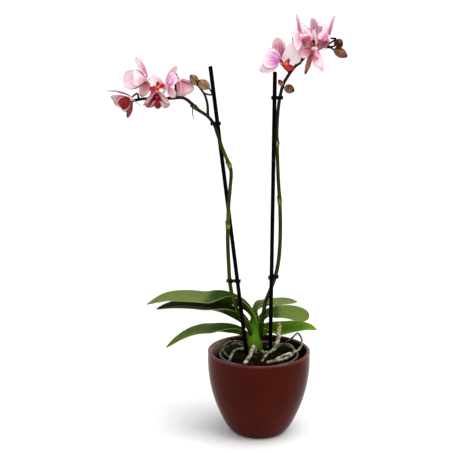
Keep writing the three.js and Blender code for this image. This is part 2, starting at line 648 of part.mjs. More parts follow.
// ---------------------------------------------------------------- leaves, crown and roots
// Each leaf: greatest half width, outline, the fold of its two halves at base and tip (degrees), the shares
// of its length between which it opens, the roll of its upper face towards -Y (degrees), and its midrib from
// crown to tip.
const LEAVES = [
  {
    name: "leaf_left_top",
    halfWidth: 23, rise: 1, fall: 0.8, fold: [58, 7], opens: [0.28, 0.52], roll: [0, 4],
    spine: [
      [-6, 13, 141], [-10.3, 14, 154], [-17.6, 15, 162], [-29, 15.5, 168.5], [-44.7, 15, 172.3],
      [-71, 12, 178.3], [-97, 8, 181.5], [-122, 3.5, 181.5], [-147, -1, 174.5],
    ],
  },
  {
    name: "leaf_back",
    halfWidth: 14.5, rise: 0.7, fall: 0.4, fold: [60, 8], opens: [0.15, 0.5], roll: [0, 6],
    spine: [
      [-4, 16, 142], [-4, 22, 156], [1, 30, 160.5], [10, 42, 161], [19, 54, 159.5], [30.4, 66, 157.5],
      [52, 86, 154],
    ],
  },
  {
    name: "leaf_left_middle",
    halfWidth: 18.5, rise: 0.7, fall: 0.7, fold: [60, 12], opens: [0.2, 0.6], roll: [0, 6],
    spine: [
      [-7.5, 12, 126], [-14, 12, 136], [-23.5, 12, 146.2], [-33, 12, 152.4], [-48.5, 12, 160.2],
      [-67, 11, 165.5], [-92, 10, 168.8], [-115, 8, 169], [-135, 5, 166],
    ],
  },
  {
    name: "leaf_right_top",
    halfWidth: 15.2, rise: 0.7, fall: 0.42, fold: [60, 4], opens: [0.15, 0.5], roll: [0, 18],
    spine: [
      [-2, 15, 131.5], [3.5, 17, 143.5], [10, 18, 151], [18, 17, 156.5], [27, 14, 159],
      [38, 8.5, 160.8], [48, 2, 160.6], [56, -5, 159.3], [62, -11, 156],
    ],
  },
  {
    name: "leaf_left_low",
    halfWidth: 15.5, rise: 0.7, fall: 0.85, fold: [58, 10], opens: [0.15, 0.5], roll: [0, 7],
    spine: [
      [-9, 13, 116], [-16.5, 14, 124], [-26, 15, 129], [-41, 16.5, 131.5], [-60, 18, 133.4],
      [-76, 18, 132.8], [-90, 18, 129.2], [-107, 16, 121.3], [-123.4, 12, 110.4],
    ],
  },
  {
    name: "leaf_right_low",
    halfWidth: 18, rise: 0.55, fall: 0.85, fold: [58, 10], opens: [0.15, 0.5], roll: [0, 16],
    spine: [
      [-2, 14, 114], [1.5, 16, 122.7], [9, 17, 128.6], [19, 15, 131.5], [31, 12, 135.2], [43, 8, 138.4],
      [54, 3, 141], [66, -3, 143], [75.5, -8, 142],
    ],
  },
];

function leafSurface({ spine, halfWidth, rise, fall, fold, opens, roll }) {
  const path = new THREE.CatmullRomCurve3(spine.map(vector), false, "centripetal");
  const up = new THREE.Vector3(0, 0, 1);
  return (u, v) => {
    const t = Math.min(1, Math.max(0, u));
    const along = path.getTangentAt(t);
    const centre = path.getPointAt(t).addScaledVector(along, (u - t) * path.getLength());
    const side = along.clone().cross(up).normalize();
    if (side.y > 0) side.negate();
    const normal = side.clone().cross(along).normalize();
    if (normal.z < 0) normal.negate();
    const flat = smooth(...opens, t);
    const tilt = THREE.MathUtils.degToRad(mix(...roll, flat));
    const across = side.clone().multiplyScalar(Math.cos(tilt)).addScaledVector(normal, -Math.sin(tilt));
    const upper = normal.clone().multiplyScalar(Math.cos(tilt)).addScaledVector(side, Math.sin(tilt));
    const sheathWidth = mix(9.5, 1.2, smooth(0, 0.5, t));
    const width = Math.max(sheathWidth, halfWidth * outlineShare(t, rise, fall));
    const angle = THREE.MathUtils.degToRad(mix(...fold, flat));
    const lift = (Math.sqrt(v * v + 0.03) - 0.173) * Math.sin(angle);
    return centre
      .addScaledVector(across, width * v * Math.cos(angle))
      .addScaledVector(upper, width * lift);
  };
}

function leaf(shape, grow) {
  const { midrib, edge } = LEAF_THICKNESS;
  return blade(leafSurface(shape), (u, v) => mix(midrib, edge, Math.abs(v)) * mix(1.1, 0.8, u), 10, 4, grow);
}

// The short upright stem that the leaves and spikes grow from.
const CROWN = {
  spine: [[-3, 9, 92], [-4, 10, 108], [-5, 12, 122], [-5.5, 13, 138], [-6, 14, 152]],
  radius: { foot: 9.2, top: 5.7 },
};

function crown(grow) {
  const { foot, top } = CROWN.radius;
  return bar(CROWN.spine, (u) => mix(foot, top, smooth(0.35, 1, u)) + grow, { sides: 10, steps: 6 });
}

// Aerial roots: each runs from the crown's foot over or into the bark. Radius at base and tip.
const ROOTS = [
  {
    radius: [2.6, 2.6],
    path: [
      [-4, -1, 105], [-5.5, -3.5, 114], [-7, -9, 119], [-10, -22, 117], [-14, -37, 113],
      [-19, -50, 111],
    ],
  },
  {
    radius: [2.3, 2.8],
    path: [
      [-1, 4, 104], [8, -3, 108], [14.7, -7, 111], [20, -9.5, 116], [23.6, -10, 124],
      [25.4, -10, 132.5], [26.6, -10, 150],
    ],
  },
  {
    radius: [0.9, 1.8],
    path: [
      [6, 13, 104], [18, 17, 108], [30, 18, 112], [45, 14, 124], [51.5, 10, 131], [56, 8, 126.5],
      [57, 4, 119.5], [53, -4, 114], [45, -13, 112], [36, -20, 112.5], [28, -26, 111], [21, -31, 108],
    ],
  },
  {
    radius: [1.4, 1.9],
    path: [
      [3, 14, 102], [12, 25, 106], [22, 33, 108], [38, 29, 109.5], [46, 12, 110.3], [45, -12, 110.3],
      [31, -34, 110.3], [10, -45.5, 110.3],
    ],
  },
  {
    radius: [1.5, 1.3],
    path: [
      [-9, 14, 102], [-14, 24, 107], [-21, 33, 110.5], [-36, 38, 111], [-45, 24, 110.3],
      [-48, 6, 110.3], [-41, -17, 108.5],
    ],
  },
  {
    radius: [1.6, 1.2],
    path: [[-10, 11, 103], [-17, 13, 110], [-23, 15, 113], [-33, 25, 112.5], [-41, 31, 105]],
  },
  {
    radius: [1.9, 2],
    path: [[-10, 8, 103], [-18, 7, 109.5], [-25, 5, 111.5], [-33, -4, 110.5], [-39, -23, 105]],
  },
  {
    radius: [1.8, 1.5],
    path: [[-1, 4, 103], [3, -3, 110], [5, -8, 112.5], [7, -14, 110], [6, -24, 103]],
  },
  {
    radius: [1.6, 1.4],
    path: [[2, 5, 102], [8, -3, 106], [11, -8, 109], [10, -16, 110.5], [3, -33, 107]],
  },
];

const root = ({ path, radius }, grow) =>
  bar(path, tapered(...radius, grow), { sides: 5, steps: path.length });

// The roots join in a collar under the crown.
const COLLAR = { centre: [-3.5, 10.5, 103], radius: 14, halfHeight: 7.5 };

function roots(grow) {
  const collar = egg(COLLAR.centre, [0, 0, 1], COLLAR.radius + grow, COLLAR.halfHeight + grow);
  return union([collar, ...ROOTS.map((one) => root(one, grow))]);
}

// ---------------------------------------------------------------- assembly
// Each piece is cut clear of the pieces listed before it that mark a keep-out.
const pieces = [
  ...Object.entries(STAKES).map(([side, stake]) => ({
    name: `stake_${side}`, material: "stake", make: (grow) => stakeBar(stake, grow), keepOut: true,
  })),
  ...Object.keys(SPIKES).map((side) => ({
    name: `spike_${side}`, material: "spike", make: (grow) => spike(side, grow), keepOut: true,
  })),
  ...Object.entries(CLIPS).map(([name, held]) => ({ name, material: "clip", make: () => clip(held) })),
  { name: "crown", material: "crown", make: crown, keepOut: true },
  ...LEAVES.map((shape) => ({
    name: shape.name, material: "leaf", make: (grow) => leaf(shape, grow), keepOut: true,
  })),
  { name: "roots", material: "root", make: roots, keepOut: true },
  { name: "bark", material: "bark", make: barkBed },
  { name: "grow_pot", material: "clearPlastic", make: growPot },
  { name: "cover_pot", material: "glaze", make: coverPot },
  ...BUDS.map((one) => ({ name: one.name, material: "bud", make: (grow) => bud(one, grow), keepOut: true })),
  ...BLOOMS.flatMap((bloom) => [
    { name: bloom.name, material: "tepal", make: (grow) => perianth(bloom, grow), keepOut: true },
    {
      name: bloom.name.replace("bloom", "lip"),
      material: "lip",
      make: (grow) => lip(bloom, grow),
      keepOut: true,
    },
  ]),
];

const orchid = new THREE.Group();
const keepOuts = [];
for (const { name, material, make, keepOut } of pieces) {
  let solid = make(0);
  for (const other of keepOuts) if (boxesMeet(solid, other)) solid = solid.subtract(other);
  const mesh = new THREE.Mesh(geometryOf(largest(solid).simplify(MESH_TOLERANCE)), MATERIALS[material]);
  mesh.name = name;
  orchid.add(mesh);
  if (keepOut) keepOuts.push(make(GAP));
}

export default orchid;
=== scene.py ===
import math

import bmesh
import bpy
import numpy as np
from mathutils import Euler, Matrix, Vector


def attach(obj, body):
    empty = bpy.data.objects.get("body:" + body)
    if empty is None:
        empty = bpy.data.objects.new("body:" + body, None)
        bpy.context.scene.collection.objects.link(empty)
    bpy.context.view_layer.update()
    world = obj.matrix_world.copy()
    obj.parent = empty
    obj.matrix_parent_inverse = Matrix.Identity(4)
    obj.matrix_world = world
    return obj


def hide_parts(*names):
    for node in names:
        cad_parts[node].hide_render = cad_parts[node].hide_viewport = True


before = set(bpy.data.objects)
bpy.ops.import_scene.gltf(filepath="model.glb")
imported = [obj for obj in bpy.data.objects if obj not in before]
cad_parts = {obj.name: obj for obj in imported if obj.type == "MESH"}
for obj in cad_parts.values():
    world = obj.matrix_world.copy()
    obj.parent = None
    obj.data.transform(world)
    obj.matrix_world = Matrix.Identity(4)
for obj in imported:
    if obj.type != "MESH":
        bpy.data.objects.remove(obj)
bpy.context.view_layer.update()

# ---------------------------------------------------------------- camera, floor and light
# A long lens looks slightly down on the plant, which stands on a white sweep under wide, soft light that
# comes from above and from the right.
CAMERA_AT = (-0.0421, -1.508, 0.625)
CAMERA_DIP = 12.95
scene = bpy.context.scene
scene.view_settings.view_transform = "Standard"

camera = bpy.data.objects.new("camera", bpy.data.cameras.new("camera"))
camera.data.lens = 95
camera.data.sensor_width = 36
camera.location = CAMERA_AT
camera.rotation_euler = (math.radians(90 - CAMERA_DIP), 0, 0)
scene.collection.objects.link(camera)
scene.camera = camera


def paint(code):
    """The linear colour of a six-figure hex code."""
    parts = [int(code[i:i + 2], 16) / 255 for i in (0, 2, 4)]
    return [c / 12.92 if c <= 0.04045 else ((c + 0.055) / 1.055) ** 2.4 for c in parts] + [1]


class Wire:
    """A shader socket. Arithmetic on it adds Math nodes, and node() adds any other node."""

    def __init__(self, tree, socket=None):
        self.tree = tree
        self.socket = socket

    def node(self, kind, settings, inputs, output=0):
        made = self.tree.nodes.new("ShaderNode" + kind)
        for name, value in settings.items():
            if name == "stops":
                self.set_stops(made.color_ramp, value)
            else:
                setattr(made, name, value)
        for name, value in inputs.items():
            if isinstance(value, Wire):
                self.tree.links.new(value.socket, made.inputs[name])
            else:
                made.inputs[name].default_value = value
        return Wire(self.tree, made.outputs[output])

    @staticmethod
    def set_stops(ramp, stops):
        ramp.elements[0].position = stops[0][0]
        ramp.elements[1].position = stops[-1][0]
        for at, _ in stops[1:-1]:
            ramp.elements.new(at)
        for element, (_, colour) in zip(ramp.elements, stops):
            element.color = colour

    def maths(self, operation, *values):
        return self.node("Math", {"operation": operation}, dict(enumerate(values)))

    def __add__(self, other):
        return self.maths("ADD", self, other)

    def __sub__(self, other):
        return self.maths("SUBTRACT", self, other)

    def __rsub__(self, other):
        return self.maths("SUBTRACT", other, self)

    def __mul__(self, other):
        return self.maths("MULTIPLY", self, other)

    def __pow__(self, other):
        return self.maths("POWER", self, other)

    def __abs__(self):
        return self.maths("ABSOLUTE", self)

    __radd__ = __add__
    __rmul__ = __mul__

    def axis(self, number):
        """One number of a position: 0, 1 or 2 for X, Y or Z."""
        return self.node("SeparateXYZ", {}, {0: self}, output=number)

    def ramp(self, low, high):
        """0 where the value is under low, 1 where it is over high, and smooth between."""
        limits = {"Value": self, "From Min": low, "From Max": high}
        return self.node("MapRange", {"interpolation_type": "SMOOTHSTEP"}, limits)

    def fall(self, low, high):
        """1 where the value is under low, 0 where it is over high, and smooth between."""
        return 1 - self.ramp(low, high)

    def colours(self, *stops):
        """A colour for each value, from (value, hex code) stops."""
        return self.node("ValToRGB", {"stops": [(at, paint(code)) for at, code in stops]}, {"Fac": self})

    def noise(self, scale, detail=3, rough=0.5, stretch=(1, 1, 1)):
        """Cloudy noise from 0 to 1, read at this position."""
        where = self.node("Mapping", {}, {"Vector": self, "Scale": stretch})
        inputs = {"Vector": where, "Scale": scale, "Detail": detail, "Roughness": rough}
        return self.node("TexNoise", {}, inputs)

    def to_colour(self, other, factor):
        """This colour where factor is 0, and the other one where it is 1."""
        other = paint(other) if isinstance(other, str) else other
        return self.node("Mix", {"data_type": "RGBA"}, {0: factor, 6: self, 7: other}, output=2)

    def bump(self, strength, distance):
        """A normal for this height, where distance is the height of 1 in metres."""
        return self.node("Bump", {}, {"Height": self, "Strength": strength, "Distance": distance})


class Finish:
    """A material with one Principled shader. Values that are the same all over are given by name."""

    def __init__(self, name, **constants):
        self.material = bpy.data.materials.new(name)
        self.material.use_nodes = True
        tree = self.material.node_tree
        self.shader = tree.nodes["Principled BSDF"]
        for socket, value in constants.items():
            self.shader.inputs[socket.replace("_", " ")].default_value = value
        self.wire = Wire(tree)
        self.here = self.wire.node("TexCoord", {}, {}, output=3)
        self.uv = self.wire.node("TexCoord", {}, {}, output=2)

    def attribute(self, name):
        return self.wire.node("Attribute", {"attribute_name": name}, {}, output=2)

    def feed(self, **wires):
        for socket, wire in wires.items():
            self.wire.tree.links.new(wire.socket, self.shader.inputs[socket.replace("_", " ")])


floor_finish = Finish("floor_white", Roughness=0.9)
floor_finish.feed(Base_Color=floor_finish.here.noise(3).colours((0, "f6f6f6"), (1, "fbfbfb")))
bpy.ops.mesh.primitive_plane_add(size=80)
floor = bpy.context.object
floor.name = "floor"
floor.data.materials.append(floor_finish.material)

world = bpy.data.worlds.new("studio")
world.use_nodes = True
scene.world = world
# The room is white near the floor, grey above that, and darkest in front of the plant.
ahead = Wire(world.node_tree).node("TexCoord", {}, {}, output=0)
grey = 0.66 - (ahead.axis(1) * -1).ramp(0.1, 0.9) * 0.3
near_floor = ahead.axis(2).fall(0.08, 0.24)
strength = grey * (1 - near_floor) + near_floor * 1.02
sky = world.node_tree.nodes["Background"]
sky.inputs["Color"].default_value = (1, 1, 1, 1)
world.node_tree.links.new(strength.socket, sky.inputs["Strength"])


def softbox(name, place, target, size, power):
    """A wide lamp that faces its target, with its size in metres and its power in watts."""
    lamp = bpy.data.objects.new(name, bpy.data.lights.new(name, "AREA"))
    lamp.data.shape = "RECTANGLE"
    lamp.data.size, lamp.data.size_y = size
    lamp.data.energy = power
    lamp.location = place
    lamp.rotation_euler = (Vector(target) - Vector(place)).to_track_quat("-Z", "Y").to_euler()
    scene.collection.objects.link(lamp)


softbox("softbox_right", (1.5, -1.0, 1.7), (0, 0, 0.25), (1.2, 1.2), 11)
softbox("softbox_left", (-1.7, -0.7, 1.2), (0, 0, 0.25), (0.6, 1.4), 4)
softbox("softbox_front", (-0.2, -2.3, 1.6), (0, 0, 0.4), (1.6, 1.0), 8)
sun = bpy.data.objects.new("overhead", bpy.data.lights.new("overhead", "SUN"))
sun.data.energy = 1.8
sun.data.angle = math.radians(50)
sun.rotation_euler = (math.radians(8), math.radians(14), 0)
scene.collection.objects.link(sun)

# ---------------------------------------------------------------- cover pot
# A slip-cast pot with a rounded rim, dipped in a dark red-brown satin glaze. Its foot is wiped bare before
# firing, so that it doesn't stick to the kiln shelf.
# Sizes are in millimetres, except that finishes read places in metres. Outlines are (radius, height) pairs.
MM = 0.001
POT_SIDES = 128
POT_OUTLINE = [
    (33.5, 0), (36.8, 2), (44.3, 12), (50.8, 25), (57, 40), (62, 56), (65.3, 72), (67.2, 90), (67.48, 110.2),
]
POT_RIM = [(67.4, 111.2), (66.8, 111.8), (65.8, 112), (64.4, 111.8), (63.6, 111.2), (63.2, 110)]
POT_INSIDE = [(63, 104), (62.6, 90), (60.6, 70), (53.9, 44), (45, 22), (41.2, 14), (37, 9), (33, 7)]


def deselect():
    if bpy.context.object and bpy.context.object.mode != "OBJECT":
        bpy.ops.object.mode_set(mode="OBJECT")
    bpy.ops.object.select_all(action="DESELECT")


def pick(piece):
    """Selects this piece alone and makes it the active one."""
    deselect()
    piece.select_set(True)
    bpy.context.view_layer.objects.active = piece


def open_mesh():
    """Opens the active piece's mesh with all of it selected."""
    bpy.ops.object.mode_set(mode="EDIT")
    bpy.ops.mesh.select_all(action="SELECT")


def close_mesh():
    """Turns every face outward and leaves the mesh again."""
    bpy.ops.mesh.select_all(action="SELECT")
    bpy.ops.mesh.normals_make_consistent(inside=False)
    bpy.ops.object.mode_set(mode="OBJECT")


def catmull(points, count):
    """count points at even steps along a smooth line through the given ones."""
    p = [np.array(q, float) for q in points]
    p = [2 * p[0] - p[1]] + p + [2 * p[-1] - p[-2]]
    fine = []
    for a, b, c, d in zip(p, p[1:], p[2:], p[3:]):
        first, middle, last = (np.linalg.norm(y - x) ** 0.5 for x, y in ((a, b), (b, c), (c, d)))
        leave = ((b - a) / first - (c - a) / (first + middle) + (c - b) / middle) * middle
        arrive = ((c - b) / middle - (d - b) / (middle + last) + (d - c) / last) * middle
        t = np.linspace(0, 1, 60, endpoint=False)[:, None]
        fine.append(b + leave * t + (3 * (c - b) - 2 * leave - arrive) * t ** 2
                    + (2 * (b - c) + leave + arrive) * t ** 3)
    fine = np.vstack(fine + [p[-2][None]])
    reach = np.concatenate([[0], np.cumsum(np.linalg.norm(np.diff(fine, axis=0), axis=1))])
    at = np.linspace(0, reach[-1], count)
    return np.stack([np.interp(at, reach, fine[:, k]) for k in range(fine.shape[1])], axis=1)


def turned(name, outline, sides):
    """A disc at the first (radius, height) pair, extruded and resized through the others."""
    deselect()
    radius, height = outline[0]
    bpy.ops.mesh.primitive_circle_add(
        vertices=sides, radius=radius * MM, fill_type="NGON", location=(0, 0, height * MM),
    )
    piece = bpy.context.object
    piece.name = name
    open_mesh()
    for next_radius, next_height in outline[1:]:
        rise = (0, 0, (next_height - height) * MM)
        bpy.ops.mesh.extrude_region_move(TRANSFORM_OT_translate={"value": rise})
        share = next_radius / radius
        bpy.ops.transform.resize(value=(share, share, 1), center_override=(0, 0, next_height * MM))
        radius, height = next_radius, next_height
    close_mesh()
    bpy.ops.object.transform_apply(location=True, rotation=True, scale=True)
    return piece


def coat(piece, *finishes):
    for finish in finishes:
        piece.data.materials.append(finish.material)


def seat(piece, finishes, *nodes, slot=None, smooth=None):
    """Gives a finished piece its materials and its body, and hides the CAD nodes that it stands for."""
    pick(piece)
    if smooth is not None:
        bpy.ops.object.shade_smooth_by_angle(angle=math.radians(smooth))
    coat(piece, *finishes)
    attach(piece, "root")
    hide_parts(*nodes)


glaze = Finish("dark_red_glaze", Specular_IOR_Level=0.04, Coat_Roughness=0.1)
speckle = glaze.here.noise(900, 2)
cloud = glaze.here.noise(14, 4, 0.6)
height_in_pot = glaze.here.axis(2)
near_rim = height_in_pot.ramp(0.1085, 0.1115)
foot = height_in_pot.fall(0.0006, 0.0014)
tone = cloud.colours((0.3, "390c05"), (0.7, "461307"))
tone = tone.to_colour("5a0f0a", near_rim * 0.8)
tone = tone.to_colour("4c140c", speckle.ramp(0.62, 0.75) * 0.35)
# The inside wall is painted darker above the bark as painted shade, and pale at the left as a painted
# reflection of light.
pot_x, pot_y = glaze.here.axis(0), glaze.here.axis(1)
from_axis = (pot_x * pot_x + pot_y * pot_y) ** 0.5
inner = from_axis.fall(0.0632, 0.0642) * height_in_pot.ramp(0.09, 0.108)
tone = tone.to_colour("2a120c", inner * 0.75).to_colour("c0a494", inner * pot_x.fall(-0.062, -0.035))
glaze.feed(
    Base_Color=tone.to_colour("8a6a54", foot),
    Roughness=0.2 + cloud * 0.1 + foot * 0.5,
    Coat_Weight=near_rim * 0.6,
    Normal=(glaze.here.noise(30, 2) + speckle * 0.1).bump(0.1, 0.0004),
)
pot_outside = catmull([(r, 0, z) for r, z in POT_OUTLINE], 46)[:, (0, 2)]
pot_inside = catmull([(r, 0, z) for r, z in POT_RIM[-1:] + POT_INSIDE], 34)[1:, (0, 2)]
cover_pot = turned("cover_pot_glazed", [*pot_outside, *POT_RIM, *pot_inside], POT_SIDES)
seat(cover_pot, [glaze], "cover_pot", slot="glaze", smooth=60)

# ---------------------------------------------------------------- grow pot
# A thin clear pot with a rolled rim, pulled from sheet plastic. It stands loose in the cover pot, and its
# floor has drain holes.
GROW_OUTLINE = [(30.5, 7.3), (31.2, 9), (50.1, 102.4), (50.6, 103), (52.4, 103.4), (52.5, 106.5), (52.1, 107)]
GROW_INSIDE = [(51.2, 107), (50, 106.2), (49.2, 102.6), (30, 9.2), (29.4, 8.5)]
GROW_SIDES, GROW_FLOOR = 96, 7.9
DRAIN_HOLES, DRAIN_RADIUS, DRAIN_RING = 6, 2.6, 19


def join(name, pieces):
    deselect()
    for piece in pieces:
        piece.select_set(True)
    bpy.context.view_layer.objects.active = pieces[0]
    if len(pieces) > 1:
        bpy.ops.object.join()
    joined = bpy.context.object
    joined.name = name
    return joined


def apply_modifier(piece, kind, **settings):
    modifier = piece.modifiers.new(kind.lower(), kind)
    for name, value in settings.items():
        setattr(modifier, name, value)
    bpy.context.view_layer.objects.active = piece
    bpy.ops.object.modifier_apply(modifier=modifier.name)


clear_plastic = Finish("clear_plastic", Transmission_Weight=0.55, IOR=1.3, Specular_IOR_Level=0.15)
scuff = clear_plastic.here.noise(120, 4, 0.6)
rolled_rim = clear_plastic.here.axis(2).ramp(0.1055, 0.1065)
clear_plastic.feed(
    Roughness=0.3 + scuff.ramp(0.4, 0.8) * 0.25,
    Base_Color=scuff.colours((0.35, "4a4e4b"), (0.75, "343633")).to_colour("a9aca6", rolled_rim * 0.6),
    Normal=scuff.bump(0.15, 0.0005),
)
grow_pot = turned("grow_pot_clear", GROW_OUTLINE + GROW_INSIDE, GROW_SIDES)
turns = [2 * math.pi * k / DRAIN_HOLES for k in range(DRAIN_HOLES)]
drills = []
for x, y in [(0, 0)] + [(DRAIN_RING * math.cos(turn), DRAIN_RING * math.sin(turn)) for turn in turns]:
    bpy.ops.mesh.primitive_cylinder_add(
        vertices=16, radius=DRAIN_RADIUS * MM, depth=6 * MM, location=(x * MM, y * MM, GROW_FLOOR * MM),
    )
    drills.append(bpy.context.object)
drill = join("drill", drills)
apply_modifier(grow_pot, "BOOLEAN", object=drill, operation="DIFFERENCE", solver="EXACT")
bpy.data.objects.remove(drill)
seat(grow_pot, [clear_plastic], "grow_pot", slot="clear_plastic", smooth=40)

# ---------------------------------------------------------------- bark
# The plant is potted in coarse pine bark. The chips are split, rough blocks that lie at all angles, and
# the ones below the surface pack into a solid bed.
BARK_TOP, BARK_MOUND, BARK_EDGE = 103, 5, 48.3
BED_OUTLINE = [(28.3, 8.9), (47.9, 98), (40, 101.5), (22, 103.4), (6, 104.6)]
# How many shapes and chips there are, and the ranges of a chip's length, width and thickness.
CHIP_SHAPES, CHIP_COUNT = 7, 190
CHIP_SIZES = ((11, 17), (8, 12), (5, 8))
# The turn from each chip to the next one, which spreads them evenly.
GOLDEN_TURN = 2.39996
draw = np.random.default_rng(11)


def moved(place):
    return Matrix.Translation(Vector(place) * MM)


def give(mesh, name, values):
    """Stores one number for all vertices, or one for each, for the materials to read."""
    stored = np.full(len(mesh.vertices), values, np.float32)
    mesh.attributes.new(name, "FLOAT", "POINT").data.foreach_set("value", stored)


def bark_chip(length, width, thickness, seed):
    """A block, cut fine and pushed in and out in flat flakes along its grain."""
    deselect()
    bpy.ops.mesh.primitive_cube_add(size=1, scale=(length * MM, width * MM, thickness * MM))
    bpy.ops.object.transform_apply(location=True, rotation=True, scale=True)
    chip = bpy.context.object
    open_mesh()
    bpy.ops.mesh.subdivide(number_cuts=4)
    bpy.ops.object.mode_set(mode="OBJECT")
    flakes = np.random.default_rng(seed)
    waves = flakes.uniform(-1, 1, (5, 3)) * (0.25, 0.6, 0.8)
    phases = flakes.uniform(0, 6.3, 5)
    places = np.array([v.co for v in chip.data.vertices]) / MM
    half = np.array([length, width, thickness]) / 2
    corner = np.linalg.norm(places / half, axis=1, keepdims=True) / 3 ** 0.5
    push = sum(np.sign(np.sin(places @ w + q)) * 0.16 for w, q in zip(waves, phases))
    places = places * (1.06 - 0.2 * corner ** 3) + np.sign(places) * push[:, None] * (0.4, 0.6, 1)
    chip.data.vertices.foreach_set("co", (places * MM).ravel())
    return chip


chip_finish = Finish("pine_bark", Specular_IOR_Level=0.06)
grain = chip_finish.here.noise(260, 5, 0.7, (1, 1, 2.4))
patch = chip_finish.here.noise(60, 2)
bark_tone = patch.colours((0.32, "060302"), (0.5, "0e0704"), (0.66, "1f0f07"), (0.8, "0a0503"))
bark_tone = bark_tone.to_colour("5a3015", chip_finish.attribute("fresh") * (0.4 + patch * 0.5))
bark_tone = bark_tone.to_colour("8d8264", grain.ramp(0.7, 0.8) * patch.ramp(0.5, 0.62) * 0.6)
chip_finish.feed(
    Base_Color=bark_tone.to_colour("040302", grain.ramp(0.5, 0.7) * 0.85),
    Roughness=0.62 + grain * 0.35,
    Normal=grain.bump(0.9, 0.0016),
)
shapes = [bark_chip(*(draw.uniform(*span) for span in CHIP_SIZES), 40 + k) for k in range(CHIP_SHAPES)]
chips = []
for k in range(CHIP_COUNT):
    shape = shapes[k % CHIP_SHAPES]
    size = draw.uniform(0.5, 1.0)
    reach = (BARK_EDGE - 9 * size) * math.sqrt((k + 0.5) / CHIP_COUNT)
    turn = GOLDEN_TURN * k
    rise = BARK_TOP - 2.4 + BARK_MOUND * (1 - (reach / BARK_EDGE) ** 2) + draw.uniform(-2.5, 1.2)
    tilt = Euler((draw.uniform(-0.55, 0.55), draw.uniform(-0.5, 0.5), draw.uniform(0, 3.14)))
    place = moved((reach * math.cos(turn), reach * math.sin(turn), rise)) @ tilt.to_matrix().to_4x4()
    mesh = shape.data.copy()
    mesh.transform(place @ Matrix.Scale(size, 4))
    give(mesh, "fresh", draw.uniform(0, 1) ** 8)
    chips.append(bpy.data.objects.new("chip", mesh))
    scene.collection.objects.link(chips[-1])
for shape in shapes:
    bpy.data.objects.remove(shape)
bed = turned("bark_bed", BED_OUTLINE, 48)
bark = join("bark_chips", [bed, *chips])
seat(bark, [chip_finish], "bark", slot="bark_chips", smooth=35)

# ---------------------------------------------------------------- crown
# The short upright stem of the plant. The folded feet of its leaves clasp it on both sides, one over the
# other, so that it looks like a bright green fan of sheaths.
CROWN_SPINE = [(-3, 9, 92), (-4, 10, 108), (-5, 12, 122), (-5.5, 13, 138), (-6, 14, 152)]
# Its radius at each share of the way up.
CROWN_RADIUS = [(0, 9.2), (0.35, 9.2), (0.62, 7.9), (0.85, 6.4), (1, 5.2)]
# Each sheath: heights of its foot and its top, the angle that it faces, how far round it goes to each side,
# and how loose it is.
SHEATHS = [
    (96, 120, 185, 100, 0), (97, 127, 8, 98, 0.03), (98, 136, 178, 92, 0.02), (102, 143, -12, 84, 0.02),
    (104, 149, 196, 80, 0),
]


def round_off(piece):
    """Shades the whole piece smooth."""
    piece.data.polygons.foreach_set("use_smooth", [True] * len(piece.data.polygons))


def tube(name, path, radius, sides=12):
    """A round bar along path, with a radius at each of its points, and rounded ends."""
    path = np.asarray(path, float)
    radius = np.asarray(radius, float)
    cap = np.sin(np.linspace(0.12, 1, 4) * math.pi / 2)
    depth = (1 - np.cos(np.linspace(0.12, 1, 4) * math.pi / 2)) * 0.8
    ends = []
    for end, inner in ((0, 1), (-1, -2)):
        out = (path[end] - path[inner]) / np.linalg.norm(path[end] - path[inner])
        ends.append([path[end] + out * radius[end] * (0.8 - d) for d in depth])
    path = np.vstack([ends[0][:-1], path, ends[1][:-1][::-1]])
    radius = np.concatenate([cap[:-1] * radius[0], radius, cap[:-1][::-1] * radius[-1]])
    line = bpy.data.curves.new(name, "CURVE")
    line.dimensions = "3D"
    line.bevel_mode = "ROUND"
    line.bevel_depth = MM
    line.bevel_resolution = max(1, sides // 4 - 1)
    line.use_fill_caps = True
    spline = line.splines.new("POLY")
    spline.points.add(len(path) - 1)
    spline.points.foreach_set("co", np.column_stack([path * MM, np.ones(len(path))]).ravel())
    spline.points.foreach_set("radius", radius)
    piece = bpy.data.objects.new(name, line)
    scene.collection.objects.link(piece)
    pick(piece)
    bpy.ops.object.convert(target="MESH")
    piece = bpy.context.object
    round_off(piece)
    return piece


def wavy(count, size, seed, pieces):
    """Seeded bumps of about the given size along a line of count points, two to each of its pieces."""
    knots = np.random.default_rng(seed).uniform(-size, size, pieces * 2)
    return np.interp(np.linspace(0, 1, count), np.linspace(0, 1, len(knots)), knots)


def blade(name, surface, rows, cols, thickness, back_material=0):
    """A thin skin over surface(u, v), where u runs 0 to 1 from base to tip and v -1 to 1 across.

    thickness is (full, share of it at the edges), and back_material counts slots on from the front's.
    """
    deselect()
    bpy.ops.mesh.primitive_grid_add(x_subdivisions=cols, y_subdivisions=rows, size=1)
    piece = bpy.context.object
    piece.name = name
    flat = np.array([v.co for v in piece.data.vertices])
    u = flat[:, 1] + 0.5
    v = flat[:, 0] * 2
    piece.data.vertices.foreach_set("co", (surface(u, v) * MM).ravel())
    full, edge = thickness
    group = piece.vertex_groups.new(name="thickness")
    weights = 1 - (1 - edge) * np.maximum(np.abs(v) ** 2, np.clip(u * 8 - 7, 0, 1))
    for index, weight in enumerate(weights):
        group.add([index], weight, "REPLACE")
    apply_modifier(
        piece, "SOLIDIFY", thickness=full * MM, offset=0, vertex_group="thickness",
        material_offset=back_material, material_offset_rim=0,
    )
    piece.vertex_groups.clear()
    round_off(piece)
    return piece


def mix(a, b, t):
    return a + (b - a) * t


def smooth(low, high, x):
    t = np.clip((x - low) / (high - low), 0, 1)
    return t * t * (3 - 2 * t)


